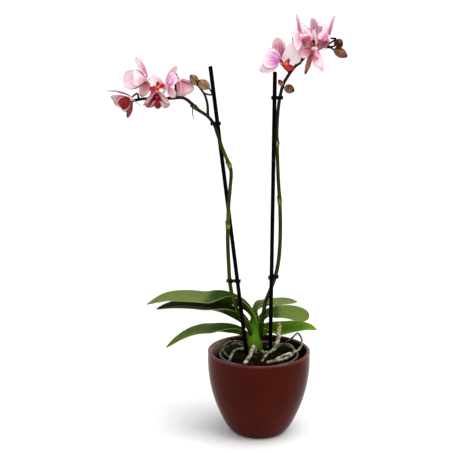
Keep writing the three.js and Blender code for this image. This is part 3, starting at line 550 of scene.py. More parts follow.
crown_green = Finish("crown_green", Specular_IOR_Level=0.14)
crown_streak = crown_green.here.noise(420, 3, 0.6, (1, 1, 0.06))
crown_height = crown_green.here.axis(2)
crown_tone = crown_height.ramp(0.1, 0.15).colours(
    (0, "4f6a0c"), (0.35, "5a8806"), (0.7, "4d8404"), (1, "2c5c06"),
)
crown_tone = crown_tone.to_colour("8ab41c", crown_streak.ramp(0.5, 0.75) * 0.5)
crown_green.feed(
    Base_Color=crown_tone.to_colour("343c0c", crown_height.fall(0.102, 0.13) * 0.9),
    Roughness=0.38 + crown_streak * 0.15,
    Normal=crown_streak.bump(0.35, 0.0006),
)
core = catmull(CROWN_SPINE, 40)
core_radius = np.interp(np.linspace(0, 1, 40), *zip(*CROWN_RADIUS)) * 0.93
parts = [tube("crown_core", core, core_radius, 24)]


def crown_sheath(foot, top, facing, spread, loose):
    """A leaf's foot wrapped round the crown."""
    def surface(u, v):
        rise = foot + (top - foot) * u * (1 - 0.22 * np.abs(v) ** 2)
        share = (rise - CROWN_SPINE[0][2]) / (CROWN_SPINE[-1][2] - CROWN_SPINE[0][2])
        axis = np.stack([np.interp(rise, core[:, 2], core[:, k]) for k in (0, 1)], axis=1)
        radius = np.interp(share, *zip(*CROWN_RADIUS)) * (0.97 + loose * u ** 2)
        turn = np.radians(facing + v * spread)
        ridge = 0.5 * np.exp(-(v * 5) ** 2) * u
        ring = np.stack([np.cos(turn), np.sin(turn)], axis=1) * (radius + ridge)[:, None]
        return np.column_stack([axis + ring, rise])
    return blade("crown_sheath", surface, 18, 24, (0.9, 0.5))


parts += [crown_sheath(*sheath) for sheath in SHEATHS]
crown = join("crown_sheaths", parts)
seat(crown, [crown_green], "crown", slot="crown_green")

# ---------------------------------------------------------------- leaves
# Six thick strap leaves. Each is folded at its foot, opens flat towards its tip, and has a sunk midrib on
# its upper face, which is glossier than the underside. The underside's darker green is painted shade.
# Each leaf: greatest half width, how its outline rises and falls, how steeply it is folded at its foot and
# where it lies open, between which shares of its length it opens, how it rolls to one side, how pale it is
# near its foot and further out, how lime green it is, and the line of its midrib. The paleness is painted
# light: dark at the folded foot as painted shade, and pale further out as painted sheen on the blade. Lime
# is the leaves' own yellow-green, and on leaf_right_low it is also a painted glow of light through the leaf.
LEAF_THICK, LEAF_ROWS = 2.3, 90
# Its least half width where it clasps the crown, and half way along.
CLASP = (9.5, 1.2)
LEAVES = {
    "leaf_left_top": {
        "half_width": 23, "outline": (1, 0.8), "fold": (58, 7), "opens": (0.28, 0.52), "roll": (0, 4),
        "pale": (0.0, 0.95), "lime": 0.1,
        "spine": [(-6, 13, 141), (-10.3, 14, 154), (-17.6, 15, 162), (-29, 15.5, 168.5), (-44.7, 15, 172.3),
                  (-71, 12, 178.3), (-97, 8, 181.5), (-122, 3.5, 181.5), (-147, -1, 174.5)],
    },
    "leaf_back": {
        "half_width": 14.5, "outline": (0.7, 0.4), "fold": (60, 8), "opens": (0.15, 0.5), "roll": (0, 6),
        "pale": (0.45, 0.9), "lime": 0.0,
        "spine": [(-4, 16, 142), (-4, 22, 156), (1, 30, 160.5), (10, 42, 161), (19, 54, 159.5),
                  (30.4, 66, 157.5), (52, 86, 154)],
    },
    "leaf_left_middle": {
        "half_width": 18.5, "outline": (0.7, 0.7), "fold": (60, 12), "opens": (0.2, 0.6), "roll": (0, 6),
        "pale": (0.0, 0.12), "lime": 0.0,
        "spine": [(-7.5, 12, 126), (-14, 12, 136), (-23.5, 12, 146.2), (-33, 12, 152.4), (-48.5, 12, 160.2),
                  (-67, 11, 165.5), (-92, 10, 168.8), (-115, 8, 169), (-135, 5, 166)],
    },
    "leaf_right_top": {
        "half_width": 15.2, "outline": (0.7, 0.42), "fold": (60, 4), "opens": (0.15, 0.5), "roll": (0, 18),
        "pale": (0.05, 0.85), "lime": 0.15,
        "spine": [(-2, 15, 131.5), (3.5, 17, 143.5), (10, 18, 151), (18, 17, 156.5), (27, 14, 159),
                  (38, 8.5, 160.8), (48, 2, 160.6), (56, -5, 159.3), (62, -11, 156)],
    },
    "leaf_left_low": {
        "half_width": 15.5, "outline": (0.7, 0.85), "fold": (58, 10), "opens": (0.15, 0.5), "roll": (0, 7),
        "pale": (0.2, 0.75), "lime": 0.2,
        "spine": [(-9, 13, 116), (-16.5, 14, 124), (-26, 15, 129), (-41, 16.5, 131.5), (-60, 18, 133.4),
                  (-76, 18, 132.8), (-90, 18, 129.2), (-107, 16, 121.3), (-123.4, 12, 110.4)],
    },
    "leaf_right_low": {
        "half_width": 18, "outline": (0.55, 0.85), "fold": (58, 10), "opens": (0.15, 0.5), "roll": (0, 16),
        "pale": (0.3, 0.5), "lime": 1.0,
        "spine": [(-2, 14, 114), (1.5, 16, 122.7), (9, 17, 128.6), (19, 15, 131.5), (31, 12, 135.2),
                  (43, 8, 138.4), (54, 3, 141), (66, -3, 143), (75.5, -8, 142)],
    },
}


def outline_share(u, rise, fall):
    """A blade's half width at u, as a share of its greatest."""
    x = np.clip(u, 0.004, 0.996)
    peak = rise / (rise + fall)
    return (x / peak) ** rise * ((1 - x) / (1 - peak)) ** fall


def unit(v):
    return v / np.linalg.norm(v, axis=-1, keepdims=True)


def leaf_surface(shape, seed):
    line = catmull(shape["spine"], 401)
    along_line = unit(np.gradient(line, axis=0))
    steps = np.linspace(0, 1, 401)
    rise, fall = shape["outline"]
    crinkle = np.random.default_rng(seed).uniform(0, 6.3, 3)

    def surface(u, v):
        centre = np.stack([np.interp(u, steps, line[:, k]) for k in range(3)], axis=1)
        along = unit(np.stack([np.interp(u, steps, along_line[:, k]) for k in range(3)], axis=1))
        side = unit(np.cross(along, (0, 0, 1)))
        side = np.where(side[:, 1:2] > 0, -side, side)
        normal = unit(np.cross(side, along))
        normal = np.where(normal[:, 2:3] < 0, -normal, normal)
        turns_up = np.cross(side, along)[:, 2].mean() > 0
        v = v if turns_up else -v
        flat = smooth(*shape["opens"], u)
        tilt = np.radians(mix(*shape["roll"], flat))[:, None]
        across = side * np.cos(tilt) - normal * np.sin(tilt)
        upper = normal * np.cos(tilt) + side * np.sin(tilt)
        clasp = mix(*CLASP, smooth(0, 0.5, u)) * np.clip((1 - u) * 30, 0, 1)
        width = np.maximum(clasp, shape["half_width"] * outline_share(u, rise, fall))
        angle = np.radians(mix(*shape["fold"], flat))
        lift = (np.sqrt(v * v + 0.03) - 0.173) * np.sin(angle)
        groove = -0.5 * np.exp(-(v * 9) ** 2) * smooth(0.05, 0.4, u)
        ripple = np.sin(9 * u + crinkle[0]) * np.sin(5 * u + 2 * np.sign(v) + crinkle[1])
        ripple *= 0.45 * np.abs(v) ** 3 * flat
        return (centre + across * (width * v * np.cos(angle))[:, None]
                + upper * (width * lift + groove + ripple)[:, None])
    return surface


def leaf_finish(name, dark, pale, lime, rib, gloss):
    """A leaf's face, where fine veins run along it beside a midrib."""
    finish = Finish(name, Specular_IOR_Level=gloss)
    across = finish.uv.axis(0)
    along = finish.uv.axis(1)
    veins = finish.uv.noise(1, 2, 0.5, (75, 1.2, 1))
    cloud = finish.here.noise(26, 4, 0.6)
    off_middle = abs(across - 0.5)
    paleness = (finish.attribute("pale") + (cloud - 0.5) * 0.5 + (veins - 0.5) * 0.35).ramp(0, 1)
    tone = paleness.colours((0, dark), (1, pale))
    tone = tone.to_colour(lime, finish.attribute("lime") * (0.7 + cloud * 0.4))
    # Painted highlight: the midrib line is painted lighter along its groove.
    tone = tone.to_colour(rib, off_middle.fall(0.006, 0.035) * 0.6)
    tone = tone.to_colour("9aa552", off_middle.ramp(0.472, 0.498) * 0.5)
    tone = tone.to_colour("5f8c10", along.fall(0.0, 0.16) * 0.6)
    finish.feed(
        Base_Color=tone.to_colour("7a6a2c", along.ramp(0.972, 1.0) * 0.6),
        Roughness=0.38 + cloud * 0.16 + veins * 0.06,
        Normal=(veins + cloud * 1.5).bump(0.3, 0.0007),
    )
    return finish


# The underside's colours are darker than the upper face's, as painted shade.
leaf_upper = leaf_finish("leaf_upper_face", "122c03", "5e6e30", "639000", "748438", 0.1)
leaf_under = leaf_finish("leaf_underside", "163a04", "3a5a1a", "4a7206", "587c24", 0.05)
for number, (name, shape) in enumerate(LEAVES.items()):
    surface = leaf_surface(shape, 70 + number)
    leaf = blade(name + "_blade", surface, LEAF_ROWS, 24, (LEAF_THICK, 0.42), back_material=1)
    rows = np.linspace(0, 1, LEAF_ROWS + 1)
    places = np.array([v.co for v in leaf.data.vertices]) / MM
    line = catmull(shape["spine"], LEAF_ROWS + 1)
    nearest = np.argmin(((places[:, None] - line[None]) ** 2).sum(axis=2), axis=1)
    behind = (places[:, 1] - line[nearest][:, 1]) / shape["half_width"]
    # Painted shade and sheen: dark at the folded foot, pale further out, changing along a slant where the
    # leaf twists.
    give(leaf.data, "pale", mix(*shape["pale"], smooth(0.44, 0.54, rows[nearest] + 0.06 * behind)))
    give(leaf.data, "lime", shape["lime"])
    seat(leaf, [leaf_upper, leaf_under], name, slot="leaf_green")

# ---------------------------------------------------------------- aerial roots
# Fleshy roots with a papery, silver-green skin. They leave the crown's foot, wander over the bark and dive
# into it, and one loops up above the rim while another stands straight up.
# Each root: its radius at the crown and at its tip, and its line.
ROOTS = [
    (2.6, 2.6, [(-4, -1, 105), (-5.5, -3.5, 114), (-7, -9, 119), (-10, -22, 117), (-14, -37, 113),
                (-19, -50, 111)]),
    (2.3, 2.8, [(-1, 4, 104), (8, -3, 108), (14.7, -7, 111), (20, -9.5, 116), (23.6, -10, 124),
                (25.4, -10, 132.5), (26.6, -10, 150)]),
    (0.9, 1.8, [(6, 13, 104), (18, 17, 108), (30, 18, 112), (45, 14, 124), (51.5, 10, 131),
                (56, 8, 126.5), (57, 4, 119.5), (53, -4, 114), (45, -13, 112), (36, -20, 112.5),
                (28, -26, 111), (21, -31, 108)]),
    (1.4, 1.9, [(3, 14, 102), (12, 25, 106), (22, 33, 108), (38, 29, 109.5), (46, 12, 110.3),
                (45, -12, 110.3), (31, -34, 110.3), (10, -45.5, 110.3)]),
    (1.5, 1.3, [(-9, 14, 102), (-14, 24, 107), (-21, 33, 110.5), (-36, 38, 111), (-45, 24, 110.3),
                (-48, 6, 110.3), (-41, -17, 108.5)]),
    (1.6, 1.2, [(-10, 11, 103), (-17, 13, 110), (-23, 15, 113), (-33, 25, 112.5), (-41, 31, 105)]),
    (1.9, 2, [(-10, 8, 103), (-18, 7, 109.5), (-25, 5, 111.5), (-33, -4, 110.5), (-39, -23, 105)]),
    (1.8, 1.5, [(-1, 4, 103), (3, -3, 110), (5, -8, 112.5), (7, -14, 110), (6, -24, 103)]),
    (1.6, 1.4, [(2, 5, 102), (8, -3, 106), (11, -8, 109), (10, -16, 110.5), (3, -33, 107)]),
]
# How pale each of them is: the one in front and the standing one are cream, the others grey-green.
ROOT_PALENESS = (0.6, 0.8, 0.75, 0.45, 0.1, 0.25, 0.15, 0.2, 0.5)
# The knot that they grow from: its centre and half sizes.
ROOT_KNOT_AT, ROOT_KNOT = (-3.5, 10.5, 102), (13.6, 13.6, 7)


def ball(segments, rings, half_sizes=(1, 1, 1)):
    deselect()
    bpy.ops.mesh.primitive_uv_sphere_add(segments=segments, ring_count=rings, radius=1)
    piece = bpy.context.object
    piece.data.transform(Matrix.Diagonal((*(half * MM for half in half_sizes), 1)))
    return piece


root_skin = Finish("root_skin", Specular_IOR_Level=0.08)
mottle = root_skin.here.noise(170, 4, 0.65)
broad = root_skin.here.noise(45, 2)
root_tone = mottle.colours((0.3, "2c301c"), (0.45, "62644a"), (0.58, "a09c80"), (0.76, "ddd5b6"))
root_tone = root_tone.to_colour("5c6a30", broad.ramp(0.5, 0.7) * 0.55)
root_tone = root_tone.to_colour("33391c", (1 - root_skin.attribute("pale")) * 0.6)
root_tone = root_tone.to_colour("efe6cc", root_skin.attribute("pale") * mottle.ramp(0.42, 0.6) * 0.5)
dried = root_skin.here.axis(2).ramp(0.137, 0.147) * mottle.ramp(0.36, 0.5)
root_tone = root_tone.to_colour("b07a4c", dried * 0.75)
root_skin.feed(
    Base_Color=root_tone.to_colour("4a3420", broad.fall(0.3, 0.44) * 0.7),
    Roughness=0.7 + mottle * 0.2,
    Normal=(mottle + root_skin.here.noise(500, 3) * 0.5).bump(0.6, 0.001),
)
parts = []
for number, (first, last, path) in enumerate(ROOTS):
    count = 14 * len(path)
    line = catmull(path, count)
    bends = [wavy(count, 0.35, 200 + 3 * number + k, 3 * len(path)) for k in range(3)]
    line[4:] += np.stack(bends, axis=1)[4:]
    radius = np.linspace(first, last, count) * (1 + wavy(count, 0.1, 300 + number, 2 * len(path)))
    root = tube("root", line, radius, 12)
    give(root.data, "pale", ROOT_PALENESS[number])
    parts.append(root)
knot = ball(28, 16, ROOT_KNOT)
knot.data.transform(moved(ROOT_KNOT_AT))
parts.append(knot)
roots = join("aerial_roots", parts)
seat(roots, [root_skin], "roots", slot="root_skin")

# ---------------------------------------------------------------- stakes
# Two thin green-black coated rods, pushed into the bark beside the flower spikes to hold them up.
STAKE_RADIUS, STAKE_ROUNDING = 2.6, 1.5
STAKES = {
    "stake_left": ((-4.2, -5, 11), (-63, -5, 485.5)),
    "stake_right": ((14.2, -2, 11), (18, -2, 478.5)),
}


def pointed(along):
    """The turn that points a piece's Z along a direction."""
    return Vector(along).to_track_quat("Z", "Y").to_matrix().to_4x4()


stake_coat = Finish("stake_coating", Specular_IOR_Level=0.02)
stake_wear = stake_coat.here.noise(150, 3, 0.6, (1, 1, 0.12))
stake_coat.feed(
    Base_Color=stake_wear.colours((0.4, "010104"), (0.75, "07080c")),
    Roughness=0.34 + stake_wear * 0.2,
    Normal=stake_wear.bump(0.2, 0.0004),
)
for name, (foot_at, tip_at) in STAKES.items():
    foot_at, tip_at = Vector(foot_at) * MM, Vector(tip_at) * MM
    along = tip_at - foot_at
    deselect()
    bpy.ops.mesh.primitive_cylinder_add(vertices=24, radius=STAKE_RADIUS * MM, depth=along.length)
    rod = bpy.context.object
    rod.name = name + "_rod"
    bpy.ops.object.mode_set(mode="EDIT")
    bpy.ops.mesh.select_all(action="DESELECT")
    ends = bmesh.from_edit_mesh(rod.data)
    for face in ends.faces:
        face.select_set(abs(face.normal.z) > 0.9)
    bmesh.update_edit_mesh(rod.data)
    bpy.ops.mesh.bevel(offset=STAKE_ROUNDING * MM, segments=4)
    bpy.ops.object.mode_set(mode="OBJECT")
    rod.data.transform(Matrix.Translation((foot_at + tip_at) / 2) @ pointed(along))
    seat(rod, [stake_coat], name, slot="stake_black", smooth=50)

# ---------------------------------------------------------------- clips
# Small moulded clips, each with one open ring on the stake, one on the flower stem and a short bridge with
# a rib on it between them.
CLIP_HEIGHT, CLIP_RIM, CLIP_GAP = 4.2, 1.5, 0.3
RING_OPENING = math.radians(44)
# The bridge and its rib: width and height.
BRIDGE_BARS = ((2.4, 2.4), (1.1, 3.6))
# Each clip: the stake that it is on, where it holds the stem, and the stem's radius there.
CLIPS = {
    "clip_left_low": ("stake_left", (-38.5, -6, 207.6), 2.7),
    "clip_left_high": ("stake_left", (-58.9, -7.6, 413.5), 2.4),
    "clip_right_low": ("stake_right", (21, 3.6, 211), 2.7),
    "clip_right_high": ("stake_right", (24.7, 0, 445.5), 2.3),
}

clip_plastic = Finish("clip_plastic", Specular_IOR_Level=0.03)
clip_grain = clip_plastic.here.noise(900, 2)
clip_plastic.feed(
    Base_Color=clip_grain.colours((0.3, "020203"), (0.7, "0b0c0c")),
    Roughness=0.38 + clip_grain * 0.15,
    Normal=clip_grain.bump(0.2, 0.0002),
)


def open_ring(centre, inner, opening):
    """A band spun round a vertical axis, with its opening towards an angle."""
    deselect()
    bpy.ops.mesh.primitive_plane_add(size=1)
    ring = bpy.context.object
    ring.data.transform(Matrix.Rotation(math.pi / 2, 4, "X"))
    ring.data.transform(Matrix.Diagonal((CLIP_RIM * MM, 1, CLIP_HEIGHT * MM, 1)))
    ring.data.transform(Matrix.Translation(((inner + CLIP_RIM / 2) * MM, 0, 0)))
    ring.data.transform(Matrix.Rotation(opening + RING_OPENING / 2, 4, "Z"))
    open_mesh()
    bpy.ops.mesh.spin(steps=28, angle=2 * math.pi - RING_OPENING, center=(0, 0, 0), axis=(0, 0, 1))
    bpy.ops.mesh.select_all(action="SELECT")
    bpy.ops.mesh.remove_doubles(threshold=1e-6)
    close_mesh()
    ring.data.transform(moved(centre))
    return ring


for name, (stake, stem, stem_radius) in CLIPS.items():
    foot_at, tip_at = (Vector(end) for end in STAKES[stake])
    stem = Vector(stem)
    on_stake = foot_at.lerp(tip_at, (stem.z - foot_at.z) / (tip_at.z - foot_at.z))
    between = stem - on_stake
    turn = math.atan2(between.y, between.x)
    parts = [
        open_ring(on_stake, STAKE_RADIUS + CLIP_GAP, turn + math.pi),
        open_ring(stem, stem_radius + CLIP_GAP, turn),
    ]
    start = STAKE_RADIUS + CLIP_GAP + CLIP_RIM / 2
    end = between.length - stem_radius - CLIP_GAP - CLIP_RIM / 2
    for wide, tall in BRIDGE_BARS:
        deselect()
        bpy.ops.mesh.primitive_cube_add(size=1)
        bridge = bpy.context.object
        bridge.data.transform(Matrix.Diagonal((max(1, end - start) * MM, wide * MM, tall * MM, 1)))
        towards_stem = Matrix.Rotation(turn, 4, "Z")
        bridge.data.transform(moved(on_stake) @ towards_stem @ moved(((start + end) / 2, 0, 0)))
        parts.append(bridge)
    clip = join(name + "_moulded", parts)
    edges = {"limit_method": "ANGLE", "angle_limit": math.radians(40)}
    apply_modifier(clip, "BEVEL", width=0.28 * MM, segments=2, **edges)
    seat(clip, [clip_plastic], name, slot="clip_black", smooth=40)

# ---------------------------------------------------------------- flower spikes
# Each flower stem grows from the crown, up its stake, with a papery scale at each joint. It is green below
# and dark crimson-brown above, where the stalks of the blooms and buds leave it.
# Radii at the foot and the tip of the stems, the side twig and a withered stub, and then their lines.
STEM_RADIUS, TWIG_RADIUS, SPENT_RADIUS = (2.8, 1.9), (1.9, 1.3), (0.9, 0.35)
PEDICEL_RADIUS, BUD_STALK_RADIUS, STALK_FLARE = 1.2, 1.1, 0.5
STEM_POINTS, TWIG_POINTS, SPENT_POINTS, STALK_POINTS = 260, 40, 20, 24
STEMS = {
    "spike_left": [
        (-8, 10, 124), (-10.3, 7.5, 132), (-14.3, 4, 140.7), (-18.4, 1.8, 148.4), (-23.7, 0.8, 157),
        (-28.3, -0.5, 166.5), (-32.3, -2, 176.5), (-35.5, -3.5, 188), (-38.5, -6, 207.6), (-40, -7.4, 232),
        (-41, -8.8, 255), (-41.3, -10, 270), (-41, -10.9, 284), (-40.5, -11.3, 300), (-39.8, -11.3, 313),
        (-38, -10.9, 333), (-37, -9.8, 353), (-40, -9.9, 363), (-44, -10.8, 373), (-48, -11.4, 383),
        (-53.5, -11.2, 399), (-58.9, -7.6, 413.5), (-67, -5, 423), (-80, -3, 431.5), (-91, -2, 442),
        (-98, -2, 445.5), (-113, -3, 445), (-131, -4, 444.5), (-147, -4, 444.5), (-161, -4, 442),
    ],
    "spike_right": [
        (1.5, 10.5, 121), (3, 8.5, 131), (4, 6.2, 146.7), (6, 5, 160.7), (8.3, 4.5, 175), (13, 4.5, 188),
        (17, 4.5, 199), (21, 3.6, 211), (24.8, 2.5, 231), (26.7, 1, 260.7), (26.6, 0, 290), (25.5, 0, 314),
        (23.6, 1, 341), (21.9, 1.7, 379), (21.3, 1.9, 405), (22.6, 1.2, 430), (24.8, 0, 446.7),
        (28.7, 0, 462.6), (34.7, 3, 472.5), (41, 5, 481.4), (52, 7, 492.3), (65, 8, 502.2), (79, 7, 509),
        (89, 5, 508),
    ],
}
TWIG = [(-66, -4.5, 421.5), (-67, 0, 438), (-71, 4, 450), (-77, 6, 458), (-80, 7, 462)]
SPENT_STALK = [(-87, -2.2, 438.5), (-85.5, -3, 433), (-85.6, -3.2, 426), (-83.8, -3, 418.5)]
JOINTS = {
    "spike_left": [(-41, -10.9, 284), (-39.3, -9.9, 361), (-83, -2, 435)],
    "spike_right": [(25.6, 0, 314), (21.7, 1.8, 387), (49, 6.5, 489.5)],
}
# The scale at a joint: its radius and how much wider its tip is, how far below the joint it starts, its
# length, and how far round the stem it goes to each side.
SCALE = {"radius": 2.65, "flare": 0.75, "below": 4.5, "length": 9.5, "wrap": 168}
# Each bud: centre, the way its tip points, half width, half length, where its stalk starts, and a bend in it.
BUDS = {
    "bud_left_1": ((-84, 14, 467.5), (-0.7, 0, 0.7), 5.4, 6.8, (-79, 7, 461), None),
    "bud_left_2": ((-71.5, 7, 461.5), (-0.8, 0.1, 0.5), 6.3, 8.7, (-71, 4, 450), (-61, 4, 449)),
    "bud_right_1": ((97, -4, 513.5), (0.35, -0.9, 0.2), 6, 6.4, (86, 5.7, 508.5), None),
    "bud_right_2": ((99.7, -1, 501.6), (0.85, -0.1, -0.5), 6.1, 9.6, (88, 5.2, 508), None),
    "bud_right_3": ((36, -6, 457), (0.9, -0.3, -0.3), 5.8, 6.8, (28, -0.4, 460), None),
    "bud_right_4": ((25, -7, 465), (-0.5, -0.3, 0.7), 3.4, 5, (27.3, -1, 458), None),
}
# Each bloom: centre, facing, the way its top sepal points, size, and where its stalk starts. Each sepal and
# petal: angle clockwise from the top, slopes at its base and tip, length and width as shares, and roll.
# lip: size, turn and tilt. tints: how pink and how dusky each one is, and in some how wine red and lilac;
# the dusky brown is partly the tissue's own and partly painted shade.
BLOOMS = {
    "left_1": {
        "at": (-142, -9, 470), "face": (-0.93, -0.28, 0.08), "top": (0, 0, 1), "size": 1.04,
        "start": (-139, -4, 444.5), "lip": (0.7, 30, 40),
        "sepals": [(4, 20, 54, 1, 1.2, 30), (150, 16, 30, 0.8, 1.1, 60), (-135, 45, 70, 0.95, 1, 0)],
        "petals": [(80, 40, 75, 0.92, 0.8, 0), (-125, 50, 82, 1.12, 0.85, 0)],
        "tints": [(0.5, 0.1), (0.4, 0.7), (0.6, 0.4), (0.3, 0), (0.2, 0)],
    },
    "left_2": {
        "at": (-117, -27, 461), "face": (-0.72, -0.6, 0.35), "top": (0.35, 0, 0.94), "size": 0.92,
        "start": (-115, -3.2, 444.9), "lip": (1.3, 5, 22),
        "sepals": [(-12, 0, -20, 1.05, 1, 0), (100, 0, -10, 0.75, 1, 0), (-170, 0, 40, 0.45, 0.8, 0)],
        "petals": [(22, 0, -10, 0.85, 1, 0), (-80, 25, 50, 1, 0.5, 0)],
        "tints": [(0.5, 0.15), (0.3, 0.3), (0.15, 0.1), (0.8, 0, 0, 1), (0.15, 0)],
    },
    "left_3": {
        "at": (-129, -19, 455), "face": (0, -0.25, -0.95), "top": (0, 0.9, -0.35), "size": 0.9,
        "start": (-127, -3.8, 444.6), "lip": (1.1, 0, 0),
        "sepals": [(0, 32, 68, 1, 1, 0), (122, 32, 68, 1, 1, 0), (-122, 32, 68, 1, 1, 0)],
        "petals": [(82, 35, 71, 1, 1, 0), (-82, 35, 71, 1, 1, 0)],
        "tints": [(1, 0, 1), (0.4, 0.6, 0.1), (0.35, 0.5, 0.1), (1, 0, 0.9), (0.5, 0.3, 0.35)],
    },
    "left_4": {
        "at": (-103, 20, 465), "face": (0.45, 0.1, -0.9), "top": (0.9, 0, 0.45), "size": 0.9,
        "start": (-106, -2.6, 445.1), "lip": (1, 0, 0),
        "sepals": [(0, 30, 66, 1, 1, 0), (122, 30, 66, 1, 1, 0), (-122, 30, 66, 1, 1, 0)],
        "petals": [(82, 33, 69, 1, 1, 0), (-82, 33, 69, 1, 1, 0)],
        "tints": [(0.4, 0.4), (0.55, 0.35), (0.5, 0.3), (0.5, 0.1, 0.15), (0.5, 0.25)],
    },
    "left_5": {
        "at": (-163, -8, 446), "face": (-0.82, -0.2, -0.55), "top": (-0.5, 0, 0.85), "size": 1.02,
        "start": (-153, -4, 444.2), "lip": (1, 0, 0),
        "sepals": [(0, 24, 62, 1, 0.8, 0), (157, -10, -25, 0.5, 0.6, 0), (-150, 24, 62, 0.9, 1, 0)],
        "petals": [(90, 30, 66, 0.9, 0.8, 0), (-60, 30, 62, 1, 0.8, 0)],
        "tints": [(0.6, 0, 0.7), (0.1, 0.1), (0.8, 0.9, 0.9), (0.9, 0.1, 1), (0.6, 0.35, 0.2)],
    },
    "right_1": {
        "at": (25, -12, 492.5), "face": (0.45, -0.87, -0.15), "top": (-0.1, 0, 1), "size": 0.98,
        "start": (37, 4, 476), "lip": (1.25, -4, 35),
        "sepals": [(-12, 4, -6, 0.98, 1.25, 0), (95, 0, -20, 0.8, 1, 0), (-106, 4, -6, 1, 1, 0)],
        "petals": [(64, 7, -3, 1.04, 1.02, 0), (-68, 7, -3, 1, 1, 0)],
        "tints": [(0.65, 0.15), (0.1, 0.1), (0.3, 0.1), (0, 0), (0.75, 0, 0, 1)],
    },
    "right_2": {
        "at": (49, -10, 522), "face": (0.88, -0.45, 0.1), "top": (-0.2, 0, 0.98), "size": 0.96,
        "start": (50, 6.8, 490.6), "lip": (1, 0, 0),
        "sepals": [(0, 0, -6, 0.92, 0.75, 0), (122, 0, -6, 0.9, 1, 0), (-150, 0, 10, 0.8, 0.9, 0)],
        "petals": [(78, 3, -3, 1, 1, 30), (-98, 3, -3, 1, 1, 0)],
        "tints": [(0.7, 0.1), (0.6, 0.1), (0.6, 0.1), (0.5, 0, 0, 0.5), (0.45, 0, 0, 0.3)],
    },
    "right_3": {
        "at": (73, 30, 516), "face": (0.2, 0.9, 0.2), "top": (0, -0.2, 0.95), "size": 0.92,
        "start": (72, 7.6, 505.8), "lip": (1, 0, 0),
        "sepals": [(14, 2, -8, 1, 0.75, 0), (122, 2, -8, 1, 1, 0), (-122, 2, -8, 0.6, 1, 0)],
        "petals": [(82, 5, -5, 1, 1, 0), (-36, 5, -5, 0.85, 0.65, 0)],
        "tints": [(0.8, 0), (0.7, 0.2), (0.7, 0.3), (0.6, 0), (0.7, 0.2)],
    },
    "right_4": {
        "at": (66, -16, 508), "face": (0.1, -0.05, -1), "top": (0.2, 1, 0), "size": 1.06,
        "start": (62, 7.8, 500.1), "lip": (0.8, 0, 0),
        "sepals": [(0, -76, -80, 0.75, 0.6, 0), (118, 56, 78, 1.1, 1.15, -35), (-112, 68, 88, 1, 0.9, 0)],
        "petals": [(95, 0, 20, 0.7, 0.9, 50), (-155, 48, 76, 0.95, 0.45, 0)],
        "tints": [(0.35, 0), (0.3, 1.1, 0.25), (0.5, 0.1), (0.6, 0.1), (0.5, 0, 0.12)],
    },
    "right_5": {
        "at": (84, -4, 520), "face": (-0.92, -0.3, 0.1), "top": (0.2, 0, 0.98), "size": 1,
        "start": (80, 6.8, 509), "lip": (1, 0, 0),
        "sepals": [(0, 0, -16, 0.9, 0.7, 0), (150, 20, 40, 0.6, 0.6, 0), (-150, 20, 40, 0.7, 1, 0)],
        "petals": [(55, 35, 55, 0.85, 0.9, 40), (-82, 20, 30, 0.8, 1, 0)],
        "tints": [(0.6, 0), (0.8, 0, 0.3), (0.6, 0.3), (0.65, 0, 0, 0.7), (0.6, 0.3)],
    },
}

stem_skin = Finish("stem_skin", Specular_IOR_Level=0.05)
stem_height = stem_skin.here.axis(2)
stem_streak = stem_skin.here.noise(520, 3, 0.6, (1, 1, 0.08))
stem_cloud = stem_skin.here.noise(40, 3)
stem_tone = stem_cloud.colours((0.3, "1a2002"), (0.55, "2c3606"), (0.8, "4c5414"))
stem_tone = stem_tone.to_colour("1c1108", stem_height.ramp(0.395, 0.44) * 0.92)
stem_tone = stem_tone.to_colour("541514", stem_height.ramp(0.42, 0.51) * stem_cloud.ramp(0.4, 0.6) * 0.8)
stem_skin.feed(
    Base_Color=stem_tone.to_colour("6a7430", stem_streak.ramp(0.6, 0.85) * 0.3),
    Roughness=0.42 + stem_streak * 0.2,
    Normal=stem_streak.bump(0.35, 0.0005),
)
scale_skin = Finish("joint_scale", Specular_IOR_Level=0.1)
scale_grain = scale_skin.here.noise(600, 3, 0.6, (1, 1, 0.15))
scale_height = scale_skin.here.axis(2)
scale_tone = scale_grain.colours((0.3, "39400e"), (0.55, "666c26"), (0.8, "94965a"))
scale_skin.feed(
    Base_Color=scale_tone.to_colour("2a1a0e", scale_height.ramp(0.38, 0.425) * 0.85),
    Roughness=0.6 + scale_grain * 0.2,
    Normal=scale_grain.bump(0.4, 0.0005),
)


def joint_scale(line, joint):
    """A pointed scale leaf that clasps the stem at the joint nearest to a point."""
    at = int(np.argmin(np.linalg.norm(line - joint, axis=1)))
    at = min(max(at, 6), len(line) - 7)
    along = unit(line[at + 5] - line[at - 5])
    facing = unit(np.cross(along, (0.3, 1, 0.1)))
    beside = np.cross(along, facing)

    def surface(u, v):
        turn = v * math.radians(SCALE["wrap"])
        radius = SCALE["radius"] + SCALE["flare"] * u ** 1.5
        reach = SCALE["length"] * u * (1 - 0.55 * np.abs(v) ** 1.3) - SCALE["below"]
        ring = np.cos(turn)[:, None] * facing + np.sin(turn)[:, None] * beside
        return line[at] + ring * radius[:, None] + along * reach[:, None]
    scale = blade("joint_scale", surface, 10, 20, (0.5, 0.4))
    coat(scale, scale_skin)
    return scale


def stalk(radius, *points):
    """A thin stalk that flares where it leaves the stem."""
    flare = STALK_FLARE * np.exp(-np.linspace(0, 6, STALK_POINTS))
    return tube("stalk", catmull(points, STALK_POINTS), radius + flare, 12)


